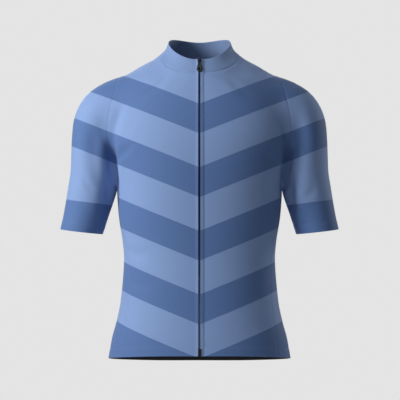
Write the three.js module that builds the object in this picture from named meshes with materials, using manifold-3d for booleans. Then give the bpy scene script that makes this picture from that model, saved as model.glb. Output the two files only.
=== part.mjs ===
// A short-sleeved cycling jersey with a full front zip, filled out as if worn.
// Millimetres, +Z up. The front faces -Y and the wearer's left is at +X.
// The origin is the middle of the neck, level with the tops of the shoulder seams.
import * as THREE from 'three';
import Module from 'manifold-3d';
import { mergeVertices } from 'three/addons/utils/BufferGeometryUtils.js';

const wasm = await Module();
wasm.setup();

// Cloth and seams
const WALL = 1.5;
const SEAM_GAP = 0.3;
const LAYER_GAP = 0.3;

// The trunk's level cross-sections, from the hem up: half its width, how far it reaches to the
// front and to the back, and how square the oval is (2 is an ellipse).
const TRUNK = [
  { z: -660, half: 196, front: 118, back: 126, power: 2.3 },
  { z: -615, half: 186, front: 117, back: 121, power: 2.3 },
  { z: -575, half: 179, front: 114, back: 115, power: 2.3 },
  { z: -540, half: 169.5, front: 111, back: 108, power: 2.3 },
  { z: -500, half: 161.5, front: 108, back: 101, power: 2.3 },
  { z: -417, half: 154.5, front: 106, back: 93, power: 2.35 },
  { z: -375, half: 157.5, front: 107.5, back: 94, power: 2.37 },
  { z: -330, half: 164.5, front: 111, back: 98, power: 2.4 },
  { z: -268, half: 167, front: 117, back: 106, power: 2.45 },
  { z: -210, half: 177, front: 120, back: 114, power: 2.45 },
  { z: -168, half: 189, front: 119, back: 118, power: 2.4 },
  { z: -120, half: 189, front: 111, back: 116, power: 2.3 },
  { z: -80, half: 174, front: 100, back: 109, power: 2.15 },
  { z: -56, half: 149.5, front: 92, back: 103, power: 2.0 },
  { z: -38, half: 119.5, front: 84, back: 97, power: 1.9 },
  { z: -22, half: 100, front: 76, back: 91, power: 1.9 },
  { z: -10, half: 90, front: 70, back: 86, power: 1.95 },
  { z: 4, half: 81, front: 64, back: 79, power: 2.0 },
  { z: 20, half: 73, front: 60, back: 72, power: 2.0 },
  { z: 50, half: 66, front: 56, back: 66, power: 2.0 },
];

// The middle line of a shoulder and upper arm, from beside the neck to past the cuff, in even
// steps, with the radius of the sleeve around it. Its depth is DEPTH_RATIO times its width.
const ARM = [
  { step: 0, x: 96, y: 6, z: -66, radius: 49 },
  { step: 1, x: 128, y: 6, z: -85, radius: 50 },
  { step: 2, x: 160, y: 6, z: -97, radius: 51.5 },
  { step: 3, x: 187, y: 5, z: -112, radius: 55 },
  { step: 4, x: 203, y: 4, z: -136, radius: 54.5 },
  { step: 5, x: 209, y: 3, z: -168, radius: 52.6 },
  { step: 6, x: 212, y: 2, z: -205, radius: 51 },
  { step: 7, x: 214.5, y: 0, z: -240, radius: 49.8 },
  { step: 8, x: 221.5, y: -2, z: -275, radius: 48 },
  { step: 9, x: 229, y: -4, z: -310, radius: 46 },
  { step: 10, x: 238, y: -6, z: -345, radius: 43.5 },
  { step: 11, x: 248, y: -8, z: -380, radius: 41.5 },
];
const DEPTH_RATIO = 1.08;
const ARM_PARTS = 44; // straight lengths that the middle line is measured along

// How softly the trunk and the sleeve run into each other, on the shoulder and under the arm
const SOFT_TOP = { z: -90, size: 34 };
const SOFT_BOTTOM = { z: -230, size: 6 };

// Where the armhole seam lies, as the distance from the middle at each height
const ARMHOLE = [
  { z: -275, x: 169 },
  { z: -232, x: 171 },
  { z: -200, x: 177 },
  { z: -168, x: 185 },
  { z: -130, x: 184 },
  { z: -95, x: 177 },
  { z: -65, x: 170 },
  { z: -35, x: 163 },
];
const ARMHOLE_CENTRE = { y: 3, z: -150 };
const UNDERARM_HALF = 34; // half of the side panel's top edge, along the armhole

// Guide lines for the sleeve seen from the front: over the shoulder, and from the underarm
const SLEEVE_OUTER = [
  { x: 163, z: -41 },
  { x: 200, z: -55 },
  { x: 226, z: -73 },
  { x: 245, z: -99 },
  { x: 255, z: -126 },
  { x: 261, z: -165 },
  { x: 263, z: -205 },
  { x: 265, z: -245 },
  { x: 271, z: -275 },
  { x: 277, z: -315 },
  { x: 283, z: -353 },
];
const SLEEVE_INNER = [
  { x: 170, z: -266 },
  { x: 181, z: -298 },
  { x: 190, z: -330 },
  { x: 199, z: -362.5 },
];
const SLEEVE_DEPTH = { shoulder: 60, cuff: 47 };
const SLEEVE_LEVEL = { shoulder: 3, cuff: -6 };

// The hem's height at the side, how much it rises in front and drops behind, and where the side
// seams meet it, as a share of half the width
const HEM = { side: -617, rise: 15, drop: 17, seamShare: 0.86 };

// The neck seam's oval seen from above, and the collar's top edge. The collar bows out a little
// in front and behind and in at the sides, where it follows the neck, and its edge lifts a little
// between the sides and the nape.
const NECK = { half: 83, depth: 82, middle: -2, power: 2.2 };
const COLLAR = {
  half: 63.5, depth: 65, middle: -3, top: 36, lift: 3, dip: 47, dipEnd: 120, bow: 0.5, sideBow: -3.6,
};

// Zip, measured across from the middle of the front and out from the cloth's face
const FRONT_EDGE = 2.2;
const PLACKET = { width: 6.4, wall: 0.9, ridge: 0.5, overSeam: 0.4 };
const CHAIN = { half: 1.9, back: -1.5, face: 0.3 };
const TAPE = { inner: 0.5, outer: 12, wall: 0.9 };
const BOX = { core: 1.9, half: 2.9, low: 2, face: 3.2, height: 15 };
const SLIDER = { top: 5.4, below: 6.5, half: 4, toe: 3, low: 1.9, high: 2.7, core: 1.7, foot: 0.6 };
const BRIDGE = { half: 0.8, length: 7, height: 3.7, wall: 0.9 };
const PULL = { length: 26.5, tip: 5.9, hole: 2.6, neck: 2.6, eye: 1.4, eyeEnd: 4.6, wall: 1.2, tilt: 6 };
const PULL_AXIS = 4.3;

// Hem band and back pockets
const BAND = { height: 20, wall: 1 };
const POCKET = { top: -438, low: 1, wall: 1.2, puff: 2.2, count: 3, rows: 7 };

// How many cells each stretch of a seam has
const CELLS = {
  across: 9, side: 13, armhole: 13, neckFront: 6, neckBack: 4, underarm: 4, sleeve: 12, collar: 3,
};
const FINE = 80; // steps along a line before it is divided evenly

const COLOUR = { cloth: 0x6f8fc4, black: 0x0c0d12 };

// Reads a table between its rows as a smooth curve, and as a straight line beyond its ends
function readTable(rows, key, value) {
  const last = rows.length - 1;
  let i = 0;
  while (i < last - 1 && value > rows[i + 1][key]) i += 1;
  const width = rows[i + 1][key] - rows[i][key];
  const t = (value - rows[i][key]) / width;
  const [t2, t3] = [t * t, t * t * t];
  const read = {};
  for (const name of Object.keys(rows[0])) {
    const slopeAt = (k) => {
      const [a, b] = [rows[Math.max(k - 1, 0)], rows[Math.min(k + 1, last)]];
      return ((b[name] - a[name]) / (b[key] - a[key])) * width;
    };
    const [start, end, m, n] = [rows[i][name], rows[i + 1][name], slopeAt(i), slopeAt(i + 1)];
    if (t < 0) read[name] = start + m * t;
    else if (t > 1) read[name] = end + n * (t - 1);
    else {
      read[name] = start * (2 * t3 - 3 * t2 + 1) + m * (t3 - 2 * t2 + t)
        + end * (3 * t2 - 2 * t3) + n * (t3 - t2);
    }
  }
  return read;
}

// The form that the garment is cut to, as signed distances that are negative inside

const armLine = Array.from({ length: ARM_PARTS + 1 }, (_, i) => (
  readTable(ARM, 'step', (i / ARM_PARTS) * (ARM.length - 1))
));

function trunkReach(x, y, size) {
  const depth = y < 0 ? size.front : size.back;
  return (Math.abs(x / size.half) ** size.power + Math.abs(y / depth) ** size.power) ** (1 / size.power);
}

function trunkDistance(x, y, z) {
  const size = readTable(TRUNK, 'z', z);
  const depth = y < 0 ? size.front : size.back;
  const reach = Math.max(trunkReach(x, y, size), 1e-6);
  const scale = reach ** (1 - size.power);
  const slopeX = (Math.abs(x / size.half) ** (size.power - 1) / size.half) * scale;
  const slopeY = (Math.abs(y / depth) ** (size.power - 1) / depth) * scale;
  const slopeZ = trunkReach(x, y, readTable(TRUNK, 'z', z + 1)) - reach;
  return (reach - 1) / Math.hypot(slopeX, slopeY, slopeZ);
}

function armDistance(x, y, z) {
  let nearest = Infinity;
  for (let i = 0; i < ARM_PARTS; i += 1) {
    const [a, b] = [armLine[i], armLine[i + 1]];
    const [ax, ay, az] = [b.x - a.x, (b.y - a.y) / DEPTH_RATIO, b.z - a.z];
    const [px, py, pz] = [x - a.x, (y - a.y) / DEPTH_RATIO, z - a.z];
    const share = (px * ax + py * ay + pz * az) / (ax * ax + ay * ay + az * az);
    const t = THREE.MathUtils.clamp(share, 0, 1);
    const gap = Math.hypot(px - ax * t, py - ay * t, pz - az * t);
    nearest = Math.min(nearest, gap - THREE.MathUtils.lerp(a.radius, b.radius, t));
  }
  return nearest;
}

function formDistance(x, y, z) {
  const trunk = trunkDistance(x, y, z);
  const arm = armDistance(Math.abs(x), y, z);
  const up = THREE.MathUtils.smoothstep(z, SOFT_BOTTOM.z, SOFT_TOP.z);
  const soft = THREE.MathUtils.lerp(SOFT_BOTTOM.size, SOFT_TOP.size, up);
  const near = Math.max(soft - Math.abs(trunk - arm), 0) / soft;
  return Math.min(trunk, arm) - (near * near * soft) / 4;
}

function slopeOf(distance, p) {
  const step = 0.5;
  return new THREE.Vector3(
    distance(p.x + step, p.y, p.z) - distance(p.x - step, p.y, p.z),
    distance(p.x, p.y + step, p.z) - distance(p.x, p.y - step, p.z),
    distance(p.x, p.y, p.z + step) - distance(p.x, p.y, p.z - step),
  );
}

// Walks a point down the slope until it lies on the form
function settle(distance, start, rounds = 8) {
  const p = start.clone();
  for (let i = 0; i < rounds; i += 1) {
    const slope = slopeOf(distance, p);
    p.addScaledVector(slope, -distance(p.x, p.y, p.z) / Math.max(slope.lengthSq(), 0.05));
  }
  return p;
}

// A node is a point on the cloth's outer face with the way out from it
function nodeAt(point) {
  return { p: point.clone(), n: slopeOf(formDistance, point).normalize() };
}

// The node at a distance from one node towards the next, on the straight line between them
function between(from, to, distance) {
  const share = distance / from.p.distanceTo(to.p);
  return { p: from.p.clone().lerp(to.p, share), n: from.n.clone().lerp(to.n, share).normalize() };
}

// Lines, and dividing them evenly

function sample(count, pointAt) {
  return Array.from({ length: count + 1 }, (_, i) => pointAt(i / count));
}

function lengthsAlong(points) {
  const along = [0];
  for (let i = 1; i < points.length; i += 1) {
    along.push(along[i - 1] + points[i].distanceTo(points[i - 1]));
  }
  return along;
}

function divided(points, cells, from = 0, to = Infinity) {
  const along = lengthsAlong(points);
  const end = Math.min(to, along.at(-1));
  return sample(cells, (share) => {
    const at = from + (end - from) * share;
    let i = 0;
    while (i < points.length - 2 && at > along[i + 1]) i += 1;
    return points[i].clone().lerp(points[i + 1], (at - along[i]) / (along[i + 1] - along[i]));
  });
}

// The value between low and high at which a rising test turns true
function turningPoint(low, high, test) {
  let [a, b] = [low, high];
  for (let i = 0; i < 30; i += 1) {
    const middle = (a + b) / 2;
    if (test(middle)) b = middle;
    else a = middle;
  }
  return a;
}

function trunkPoint(angle, z) {
  const [x, y] = [Math.sin(angle), -Math.cos(angle)];
  const reach = trunkReach(x, y, readTable(TRUNK, 'z', z));
  return new THREE.Vector3(x / reach, y / reach, z);
}

function hemPoint(angle) {
  const front = Math.cos(angle);
  const bend = (front * (3 - front * front)) / 2;
  return trunkPoint(angle, HEM.side + (front > 0 ? HEM.rise : HEM.drop) * bend);
}

function hemLine(from, to, cells) {
  return divided(sample(FINE, (t) => hemPoint(THREE.MathUtils.lerp(from, to, t))), cells);
}

function neckPoint(angle) {
  const square = (value) => Math.sign(value) * Math.abs(value) ** (2 / NECK.power);
  const x = NECK.half * square(Math.sin(angle));
  const y = NECK.middle - NECK.depth * square(Math.cos(angle));
  return new THREE.Vector3(x, y, turningPoint(-70, 60, (z) => formDistance(x, y, z) > 0));
}

// The armhole seam by the angle from the shoulder's top, forwards and down
function armholePoint(angle) {
  const pointAt = (reach) => {
    const z = ARMHOLE_CENTRE.z + reach * Math.cos(angle);
    return new THREE.Vector3(readTable(ARMHOLE, 'z', z).x, ARMHOLE_CENTRE.y - reach * Math.sin(angle), z);
  };
  const outside = (reach) => formDistance(...pointAt(reach).toArray()) > 0;
  const step = 2;
  let reach = 15;
  while (!outside(reach)) reach += step;
  return pointAt(turningPoint(reach - step, reach, outside));
}

// Seam lines shared by neighbouring panels, all on the wearer's left

const armhole = sample(2 * FINE, (t) => armholePoint(t * 2 * Math.PI));
const armholeLengths = lengthsAlong(armhole);
const armholeLength = armholeLengths.at(-1);
const frontJoin = armholeLengths[FINE] - UNDERARM_HALF;
const backJoin = armholeLengths[FINE] + UNDERARM_HALF;
const armholeFront = divided(armhole, CELLS.armhole, 0, frontJoin);
const armholeUnder = divided(armhole, CELLS.underarm, frontJoin, backJoin);
const armholeBack = divided(armhole, CELLS.armhole, backJoin);

const zipAngle = Math.atan2(FRONT_EDGE, TRUNK[1].front);
const neckFront = divided(
  sample(FINE, (t) => neckPoint(THREE.MathUtils.lerp(zipAngle, Math.PI / 2, t))),
  CELLS.neckFront,
);
const neckBack = divided(sample(FINE, (t) => neckPoint(Math.PI / 2 + (t * Math.PI) / 2)), CELLS.neckBack);
const shoulder = divided(
  sample(FINE, (t) => settle(formDistance, neckBack[0].clone().lerp(armhole[0], t))),
  CELLS.across,
);

function hemAngleOfSeam(isFront) {
  const angleAt = (t) => (isFront ? t : Math.PI - t);
  return angleAt(turningPoint(0, Math.PI / 2, (t) => {
    const p = hemPoint(angleAt(t));
    return p.x > HEM.seamShare * readTable(TRUNK, 'z', p.z).half;
  }));
}

// A side seam runs from the hem up to the armhole, closing in on the arm late
function sideSeam(hemAngle, join) {
  const low = hemPoint(hemAngle);
  const joinAngle = Math.atan2(join.x, -join.y);
  return divided(sample(FINE, (t) => {
    if (t === 1) return join.clone();
    const angle = THREE.MathUtils.lerp(hemAngle, joinAngle, t * t * (1.6 - 0.6 * t));
    return settle(trunkDistance, trunkPoint(angle, THREE.MathUtils.lerp(low.z, join.z, t)));
  }), CELLS.side);
}

const frontHemAngle = hemAngleOfSeam(true);
const backHemAngle = hemAngleOfSeam(false);
const frontSeam = sideSeam(frontHemAngle, armholeUnder[0]);
const backSeam = sideSeam(backHemAngle, armholeUnder.at(-1));

// Panels are grids of nodes, grid[row][column], with rows from the bottom up and columns running
// to the right for someone who looks at the cloth from outside

function panel(bottom, top, left, right) {
  const [columns, rows] = [bottom.length - 1, left.length - 1];
  return left.map((_, j) => bottom.map((__, i) => {
    if (j === 0) return nodeAt(bottom[i]);
    if (j === rows) return nodeAt(top[i]);
    if (i === 0) return nodeAt(left[j]);
    if (i === columns) return nodeAt(right[j]);
    const [u, v] = [i / columns, j / rows];
    const low = bottom[0].clone().lerp(bottom[columns], u);
    const high = top[0].clone().lerp(top[columns], u);
    const guide = left[j].clone().lerp(right[j], u)
      .add(bottom[i].clone().lerp(top[i], v))
      .sub(low.lerp(high, v));
    return nodeAt(settle(formDistance, guide));
  }));
}

function mirrored(grid) {
  const flip = (v) => new THREE.Vector3(-v.x, v.y, v.z);
  return grid.map((row) => row.map(({ p, n }) => ({ p: flip(p), n: flip(n) })).reverse());
}

// Draws sewn edge nodes in by half a seam gap, each towards its neighbour in the cloth
function trimmed(grid, edges) {
  const cut = grid.map((row) => row.map((node) => ({ ...node, p: node.p.clone() })));
  for (const { j, i, inward } of edges) {
    const towards = grid[j + inward[0]][i + inward[1]].p.clone().sub(grid[j][i].p);
    cut[j][i].p.add(towards.setLength(SEAM_GAP / 2));
  }
  return cut;
}

function rowEdge(j, from, to, inward) {
  return sample(to - from, (t) => ({ j, i: Math.round(THREE.MathUtils.lerp(from, to, t)), inward }));
}

function columnEdge(i, from, to, inward) {
  return sample(to - from, (t) => ({ j: Math.round(THREE.MathUtils.lerp(from, to, t)), i, inward }));
}

// Along the armhole the panels meet in a crease, so each edge node turns square to its own panel
// and steps back from the seam's own plane
function creased(grid, edge, wrap = false) {
  const [lastRow, columns] = [grid.length - 1, grid[0].length];
  const at = (j, i) => {
    const column = wrap ? (i + columns) % columns : THREE.MathUtils.clamp(i, 0, columns - 1);
    return grid[THREE.MathUtils.clamp(j, 0, lastRow)][column].p;
  };
  const turned = edge.map(({ j, i, inward }) => {
    const { p, n } = grid[j][i];
    const across = at(j, i + 1).clone().sub(at(j, i - 1));
    const up = at(j + 1, i).clone().sub(at(j - 1, i));
    const seam = inward[0] === 0 ? up.clone() : across.clone();
    const away = seam.cross(n).normalize();
    if (away.dot(at(j + inward[0], i + inward[1]).clone().sub(p)) < 0) away.negate();
    const face = across.cross(up).normalize();
    return { p, n: face.addScaledVector(away, -Math.max(face.dot(away), 0)).normalize(), away };
  });
  edge.forEach(({ j, i }, k) => { grid[j][i] = turned[k]; });
}

function steppedBack(grid) {
  return grid.map((row) => row.map((node) => (
    node.away ? { ...node, p: node.p.clone().addScaledVector(node.away, SEAM_GAP / 2) } : node
  )));
}

function shareNormal(a, b) {
  const n = a.n.clone().add(b.n).normalize();
  a.n.copy(n);
  b.n.copy(n);
}

// A closed wall of cloth, from the given grids of nodes. Nodes that two grids share are met once.
// Outside and inside say how far out from a node each face lies. Open edges get a rim.
function layer(grids, outside, inside, wrap = false) {
  const numbers = new Map();
  const faces = { outer: [], inner: [] };
  const number = (node, j, i) => {
    if (!numbers.has(node)) {
      numbers.set(node, numbers.size);
      const at = (lift) => node.p.clone().addScaledVector(node.n, typeof lift === 'number' ? lift : lift(j, i));
      faces.outer.push(at(outside));
      faces.inner.push(at(inside));
    }
    return numbers.get(node);
  };
  const cells = [];
  for (const grid of grids) {
    const columns = grid[0].length;
    const spans = wrap ? columns : columns - 1;
    for (let j = 0; j < grid.length - 1; j += 1) {
      for (let i = 0; i < spans; i += 1) {
        const next = (i + 1) % columns;
        cells.push([
          number(grid[j][i], j, i), number(grid[j][next], j, next),
          number(grid[j + 1][next], j + 1, next), number(grid[j + 1][i], j + 1, i),
        ]);
      }
    }
  }
  const count = numbers.size;
  const edges = new Set(cells.flatMap((cell) => cell.map((a, k) => `${a} ${cell[(k + 1) % 4]}`)));
  const triangles = [];
  const quad = (a, b, c, d) => triangles.push(a, b, c, a, c, d);
  for (const [a, b, c, d] of cells) {
    const [p, q, r, s] = [a, b, c, d].map((k) => faces.outer[k]);
    const [e, f, g, h] = p.distanceTo(r) <= q.distanceTo(s) ? [a, b, c, d] : [b, c, d, a];
    quad(e, f, g, h);
    quad(count + g, count + f, count + e, count + h);
    for (const [from, to] of [[a, b], [b, c], [c, d], [d, a]]) {
      if (!edges.has(`${to} ${from}`)) quad(to, from, count + from, count + to);
    }
  }
  const positions = [...faces.outer, ...faces.inner].flatMap((point) => point.toArray());
  const geometry = new THREE.BufferGeometry();
  geometry.setAttribute('position', new THREE.Float32BufferAttribute(positions, 3));
  geometry.setIndex(triangles);
  return geometry;
}

const jersey = new THREE.Group();
jersey.name = 'cycling_jersey';
const clothLook = { color: COLOUR.cloth, roughness: 0.85, metalness: 0 };
const blackLook = { color: COLOUR.black, roughness: 0.7, metalness: 0 };

function add(name, geometry, look) {
  const mesh = new THREE.Mesh(geometry, new THREE.MeshStandardMaterial(look));
  mesh.name = name;
  jersey.add(mesh);
}

// Front panel. Its left edge runs up the zip and then round the neck to the shoulder.

const rows = CELLS.side + CELLS.armhole;
const zipTop = rows - CELLS.neckFront;
const centreFront = divided(sample(FINE, (t) => {
  const z = THREE.MathUtils.lerp(hemPoint(zipAngle).z, neckFront[0].z, t);
  return settle(formDistance, new THREE.Vector3(FRONT_EDGE, -readTable(TRUNK, 'z', z).front, z));
}), zipTop);
const front = panel(
  hemLine(zipAngle, frontHemAngle, CELLS.across),
  shoulder,
  [...centreFront.slice(0, -1), ...neckFront],
  [...frontSeam.slice(0, -1), ...armholeFront.toReversed()],
);
for (const row of front.slice(0, zipTop + 1)) {
  row[0].p.x = FRONT_EDGE;
  row[0].n.setX(0).normalize();
}

// Side panel, from the front seam round to the back seam

const side = panel(
  hemLine(frontHemAngle, backHemAngle, CELLS.underarm),
  armholeUnder,
  frontSeam,
  backSeam,
);

// Left half of the back. Its right edge runs up the middle and then round the neck to the shoulder.

const spineTop = rows - CELLS.neckBack;
const spine = divided(sample(FINE, (t) => {
  const z = THREE.MathUtils.lerp(hemPoint(Math.PI).z, neckBack.at(-1).z, t);
  return new THREE.Vector3(0, readTable(TRUNK, 'z', z).back, z);
}), spineTop);
const backHalf = panel(
  hemLine(backHemAngle, Math.PI, CELLS.across),
  shoulder.toReversed(),
  [...backSeam.slice(0, -1), ...armholeBack],
  [...spine.slice(0, -1), ...neckBack.toReversed()],
);
for (const row of backHalf.slice(0, spineTop + 1)) {
  row.at(-1).p.x = 0;
  row.at(-1).n.setX(0).normalize();
}

// Sleeve, as rings that fan out about the underarm, from the armhole to the cuff

const ringTop = [...armholeFront.slice(0, -1), ...armholeUnder.slice(0, -1), ...armholeBack.slice(0, -1)];
const ringAngles = lengthsAlong(ringTop).map((length) => (length / armholeLength) * 2 * Math.PI);
const upright = ({ x, z }) => new THREE.Vector3(x, 0, z);
const outerStops = divided(SLEEVE_OUTER.map(upright), CELLS.sleeve);
const innerStops = divided(SLEEVE_INNER.map(upright), CELLS.sleeve);

function sleeveGuide(ring, angle) {
  const t = ring / CELLS.sleeve;
  const middle = outerStops[ring].clone().lerp(innerStops[ring], 0.5);
  const across = outerStops[ring].clone().sub(middle).multiplyScalar(Math.cos(angle));
  const depth = THREE.MathUtils.lerp(SLEEVE_DEPTH.shoulder, SLEEVE_DEPTH.cuff, t);
  const level = THREE.MathUtils.lerp(SLEEVE_LEVEL.shoulder, SLEEVE_LEVEL.cuff, t);
  return middle.add(across).add(new THREE.Vector3(0, level - depth * Math.sin(angle), 0));
}

const sleeve = outerStops.map((_, ring) => ringTop.map((start, i) => {
  if (ring === 0) return nodeAt(start);
  const t = ring / CELLS.sleeve;
  const shift = start.clone().sub(sleeveGuide(0, ringAngles[i]));
  const guide = sleeveGuide(ring, ringAngles[i]).addScaledVector(shift, (1 - t) ** 4);
  const onArm = settle(armDistance, guide);
  return nodeAt(settle(formDistance, guide.lerp(onArm, Math.min(1, 4 * t))));
}));

// Armhole edges, and the corners that two panels share

const last = CELLS.across;
creased(front, columnEdge(last, CELLS.side, rows, [0, -1]));
creased(side, rowEdge(CELLS.side, 0, CELLS.underarm, [-1, 0]));
creased(backHalf, columnEdge(0, CELLS.side, rows, [0, 1]));
creased(sleeve, rowEdge(0, 0, ringTop.length - 1, [1, 0]), true);
shareNormal(front[CELLS.side][last], side.at(-1)[0]);
shareNormal(backHalf[CELLS.side][0], side.at(-1).at(-1));
shareNormal(front.at(-1)[last], backHalf.at(-1)[0]);

const frontCut = steppedBack(trimmed(front, [
  ...columnEdge(last, 0, CELLS.side, [0, -1]),
  ...rowEdge(rows, 0, last, [-1, 0]),
  ...columnEdge(0, zipTop + 1, rows, [0, 1]),
  { j: zipTop, i: 0, inward: [-1, 0] },
]));
const sideCut = steppedBack(trimmed(side, [
  ...columnEdge(0, 0, CELLS.side, [0, 1]),
  ...columnEdge(CELLS.underarm, 0, CELLS.side, [0, -1]),
]));
const backHalfCut = steppedBack(trimmed(backHalf, [
  ...columnEdge(0, 0, CELLS.side, [0, 1]),
  ...rowEdge(rows, 0, last, [-1, 0]),
  ...columnEdge(last, spineTop + 1, rows, [0, -1]),
  { j: spineTop, i: last, inward: [-1, 0] },
]));
const sleeveCut = steppedBack(sleeve);

// The mirror image of the back's left half shares the middle nodes with it
function otherHalf(half, sharedRows) {
  return mirrored(half).map((row, j) => (j <= sharedRows ? [half[j].at(-1), ...row.slice(1)] : row));
}

const backHalves = [backHalfCut, otherHalf(backHalfCut, spineTop)];
add('front_left', layer([frontCut], 0, -WALL), clothLook);
add('front_right', layer([mirrored(frontCut)], 0, -WALL), clothLook);
add('back', layer(backHalves, 0, -WALL), clothLook);
add('side_left', layer([sideCut], 0, -WALL), clothLook);
add('side_right', layer([mirrored(sideCut)], 0, -WALL), clothLook);
add('sleeve_left', layer([sleeveCut], 0, -WALL, true), clothLook);
add('sleeve_right', layer([mirrored(sleeveCut)], 0, -WALL, true), clothLook);

// Collar, one strip from the zip round the neck and back to the zip

function collarTop(angle) {
  const turn = Math.min(THREE.MathUtils.radToDeg(angle) / COLLAR.dipEnd, 1);
  const dip = Math.cos((turn * Math.PI) / 2) ** 2;
  const lift = angle > Math.PI / 2 ? Math.sin(2 * angle) ** 2 : 0;
  return new THREE.Vector3(
    COLLAR.half * Math.sin(angle),
    COLLAR.middle - COLLAR.depth * Math.cos(angle),
    COLLAR.top + COLLAR.lift * lift - COLLAR.dip * dip,
  );
}

function collarColumn({ p: base, n: baseNormal }) {
  const angle = Math.atan2(base.x / NECK.half, (NECK.middle - base.y) / NECK.depth);
  const inMiddle = base.x <= FRONT_EDGE;
  const rise = collarTop(angle).sub(base);
  if (inMiddle) rise.x = 0;
  const around = inMiddle
    ? new THREE.Vector3(-Math.sign(base.y), 0, 0)
    : new THREE.Vector3(Math.cos(angle), Math.sin(angle), 0);
  const out = around.cross(rise).normalize();
  const most = THREE.MathUtils.lerp(COLLAR.bow, COLLAR.sideBow, Math.sin(angle) ** 2);
  return sample(CELLS.collar, (t) => {
    const p = base.clone().addScaledVector(rise, t).addScaledVector(out, most * Math.sin(Math.PI * t));
    return { p, n: t === 0 ? baseNormal.clone() : out.clone() };
  });
}

const neckNodes = [
  ...front.slice(zipTop, rows).map((row) => row[0]),
  ...backHalf.slice(spineTop).map((row) => row.at(-1)).toReversed(),
];
const collarColumns = neckNodes.map(collarColumn);
const collarHalf = collarColumns[0].map((_, j) => collarColumns.map((column) => column[j]));
const collar = collarHalf.map((row, j) => [...row, ...mirrored(collarHalf)[j].slice(1)]);
const collarCut = trimmed(collar, rowEdge(0, 0, collar[0].length - 1, [1, 0]));
add('collar', layer([collarCut], 0, -WALL), clothLook);

// Strips along the zip, from the hem to the collar's top edge, in the first column of the cloth

const zipRows = [
  ...front.slice(0, zipTop).map((row) => row.slice(0, 2)),
  ...collarHalf.map((row) => row.slice(0, 2)),
];

function alongZip(across) {
  return zipRows.map(([edge, next]) => across.map((distance) => between(edge, next, distance - FRONT_EDGE)));
}

const placketStrip = alongZip([FRONT_EDGE, FRONT_EDGE + PLACKET.width]);
const placketBack = (j) => LAYER_GAP + (j === zipTop ? PLACKET.overSeam : 0);
const placketFace = (j, atZip) => placketBack(j) + PLACKET.wall + (atZip ? PLACKET.ridge : 0);
add('placket_left', layer([placketStrip], (j, i) => placketFace(j, i === 0), placketBack), clothLook);
add('placket_right', layer([mirrored(placketStrip)], (j, i) => placketFace(j, i === 1), placketBack), clothLook);

const tapeStrip = alongZip([TAPE.inner, TAPE.outer]);
const behindCloth = -WALL - LAYER_GAP;
add('zip_tape_left', layer([tapeStrip], behindCloth, behindCloth - TAPE.wall), blackLook);
add('zip_tape_right', layer([mirrored(tapeStrip)], behindCloth, behindCloth - TAPE.wall), blackLook);

const middle = zipRows.map(([edge]) => ({ p: edge.p.clone().setX(0), n: edge.n.clone() }));

// The chain starts just above the box at its foot
const footRise = middle[1].p.clone().sub(middle[0].p);
const chainFoot = {
  p: middle[0].p.clone().addScaledVector(footRise, (BOX.height + LAYER_GAP) / footRise.length()),
  n: middle[0].n,
};
const chainRows = [chainFoot, ...middle.slice(1)].map(({ p, n }) => (
  [-CHAIN.half, CHAIN.half].map((x) => ({ p: p.clone().setX(x), n }))
));
add('zip_chain', layer([chainRows], CHAIN.face, CHAIN.back), blackLook);

// Hardware is drawn flat with x across the zip, y up along it and z out from the cloth

function outline(points) {
  return new THREE.Shape(points.map(([x, y]) => new THREE.Vector2(x, y)));
}

function opening(points) {
  return new THREE.Path(points.map(([x, y]) => new THREE.Vector2(x, y)));
}

function bare(geometry) {
  geometry.deleteAttribute('uv');
  geometry.deleteAttribute('normal');
  return mergeVertices(geometry, 1e-4);
}

function block(shape, depth) {
  return bare(new THREE.ExtrudeGeometry(shape, { depth, bevelEnabled: false, curveSegments: 12 }));
}

function placeOn(geometry, from, to, along) {
  const up = to.p.clone().sub(from.p).normalize();
  const x = new THREE.Vector3(1, 0, 0);
  const origin = from.p.clone().addScaledVector(up, along);
  return geometry.applyMatrix4(new THREE.Matrix4().makeBasis(x, up, x.clone().cross(up)).setPosition(origin));
}

function joined(...geometries) {
  const solids = geometries.map((geometry) => new wasm.Manifold(new wasm.Mesh({
    numProp: 3,
    vertProperties: new Float32Array(geometry.attributes.position.array),
    triVerts: new Uint32Array(geometry.index.array),
  })));
  const mesh = wasm.Manifold.union(solids).getMesh();
  const geometry = new THREE.BufferGeometry();
  geometry.setAttribute('position', new THREE.Float32BufferAttribute(mesh.vertProperties, 3));
  geometry.setIndex(new THREE.Uint32BufferAttribute(mesh.triVerts, 1));
  return geometry;
}

// The box at the foot of the zip: a core between the fronts and a face plate over the plackets
const boxSection = outline([
  [-BOX.core, CHAIN.back],
  [BOX.core, CHAIN.back],
  [BOX.core, BOX.low],
  [BOX.half, BOX.low],
  [BOX.half, BOX.face],
  [-BOX.half, BOX.face],
  [-BOX.half, BOX.low],
  [-BOX.core, BOX.low],
]);
const box = block(boxSection, BOX.height).rotateX(Math.PI / 2).translate(0, BOX.height, 0);
add('zip_bottom_box', placeOn(box, middle[0], middle[1], 0), blackLook);

// Slider: a plate over the plackets, a foot between them and an arch for the pull
const [collarLow, collarHigh] = middle.slice(-2);
const axisAlong = collarLow.p.distanceTo(collarHigh.p) - SLIDER.top;
const plate = block(outline([
  [-SLIDER.toe, -SLIDER.below],
  [SLIDER.toe, -SLIDER.below],
  [SLIDER.half, SLIDER.top / 2],
  [SLIDER.toe, SLIDER.top],
  [-SLIDER.toe, SLIDER.top],
  [-SLIDER.half, SLIDER.top / 2],
]), SLIDER.high - SLIDER.low).translate(0, 0, SLIDER.low);
const footTop = (SLIDER.low + SLIDER.high) / 2;
const foot = block(outline([
  [-SLIDER.core, 1 - SLIDER.below],
  [SLIDER.core, 1 - SLIDER.below],
  [SLIDER.core, SLIDER.top - 1],
  [-SLIDER.core, SLIDER.top - 1],
]), footTop - SLIDER.foot).translate(0, 0, SLIDER.foot);
const archHalf = BRIDGE.length / 2;
const archInner = archHalf - BRIDGE.wall;
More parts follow.
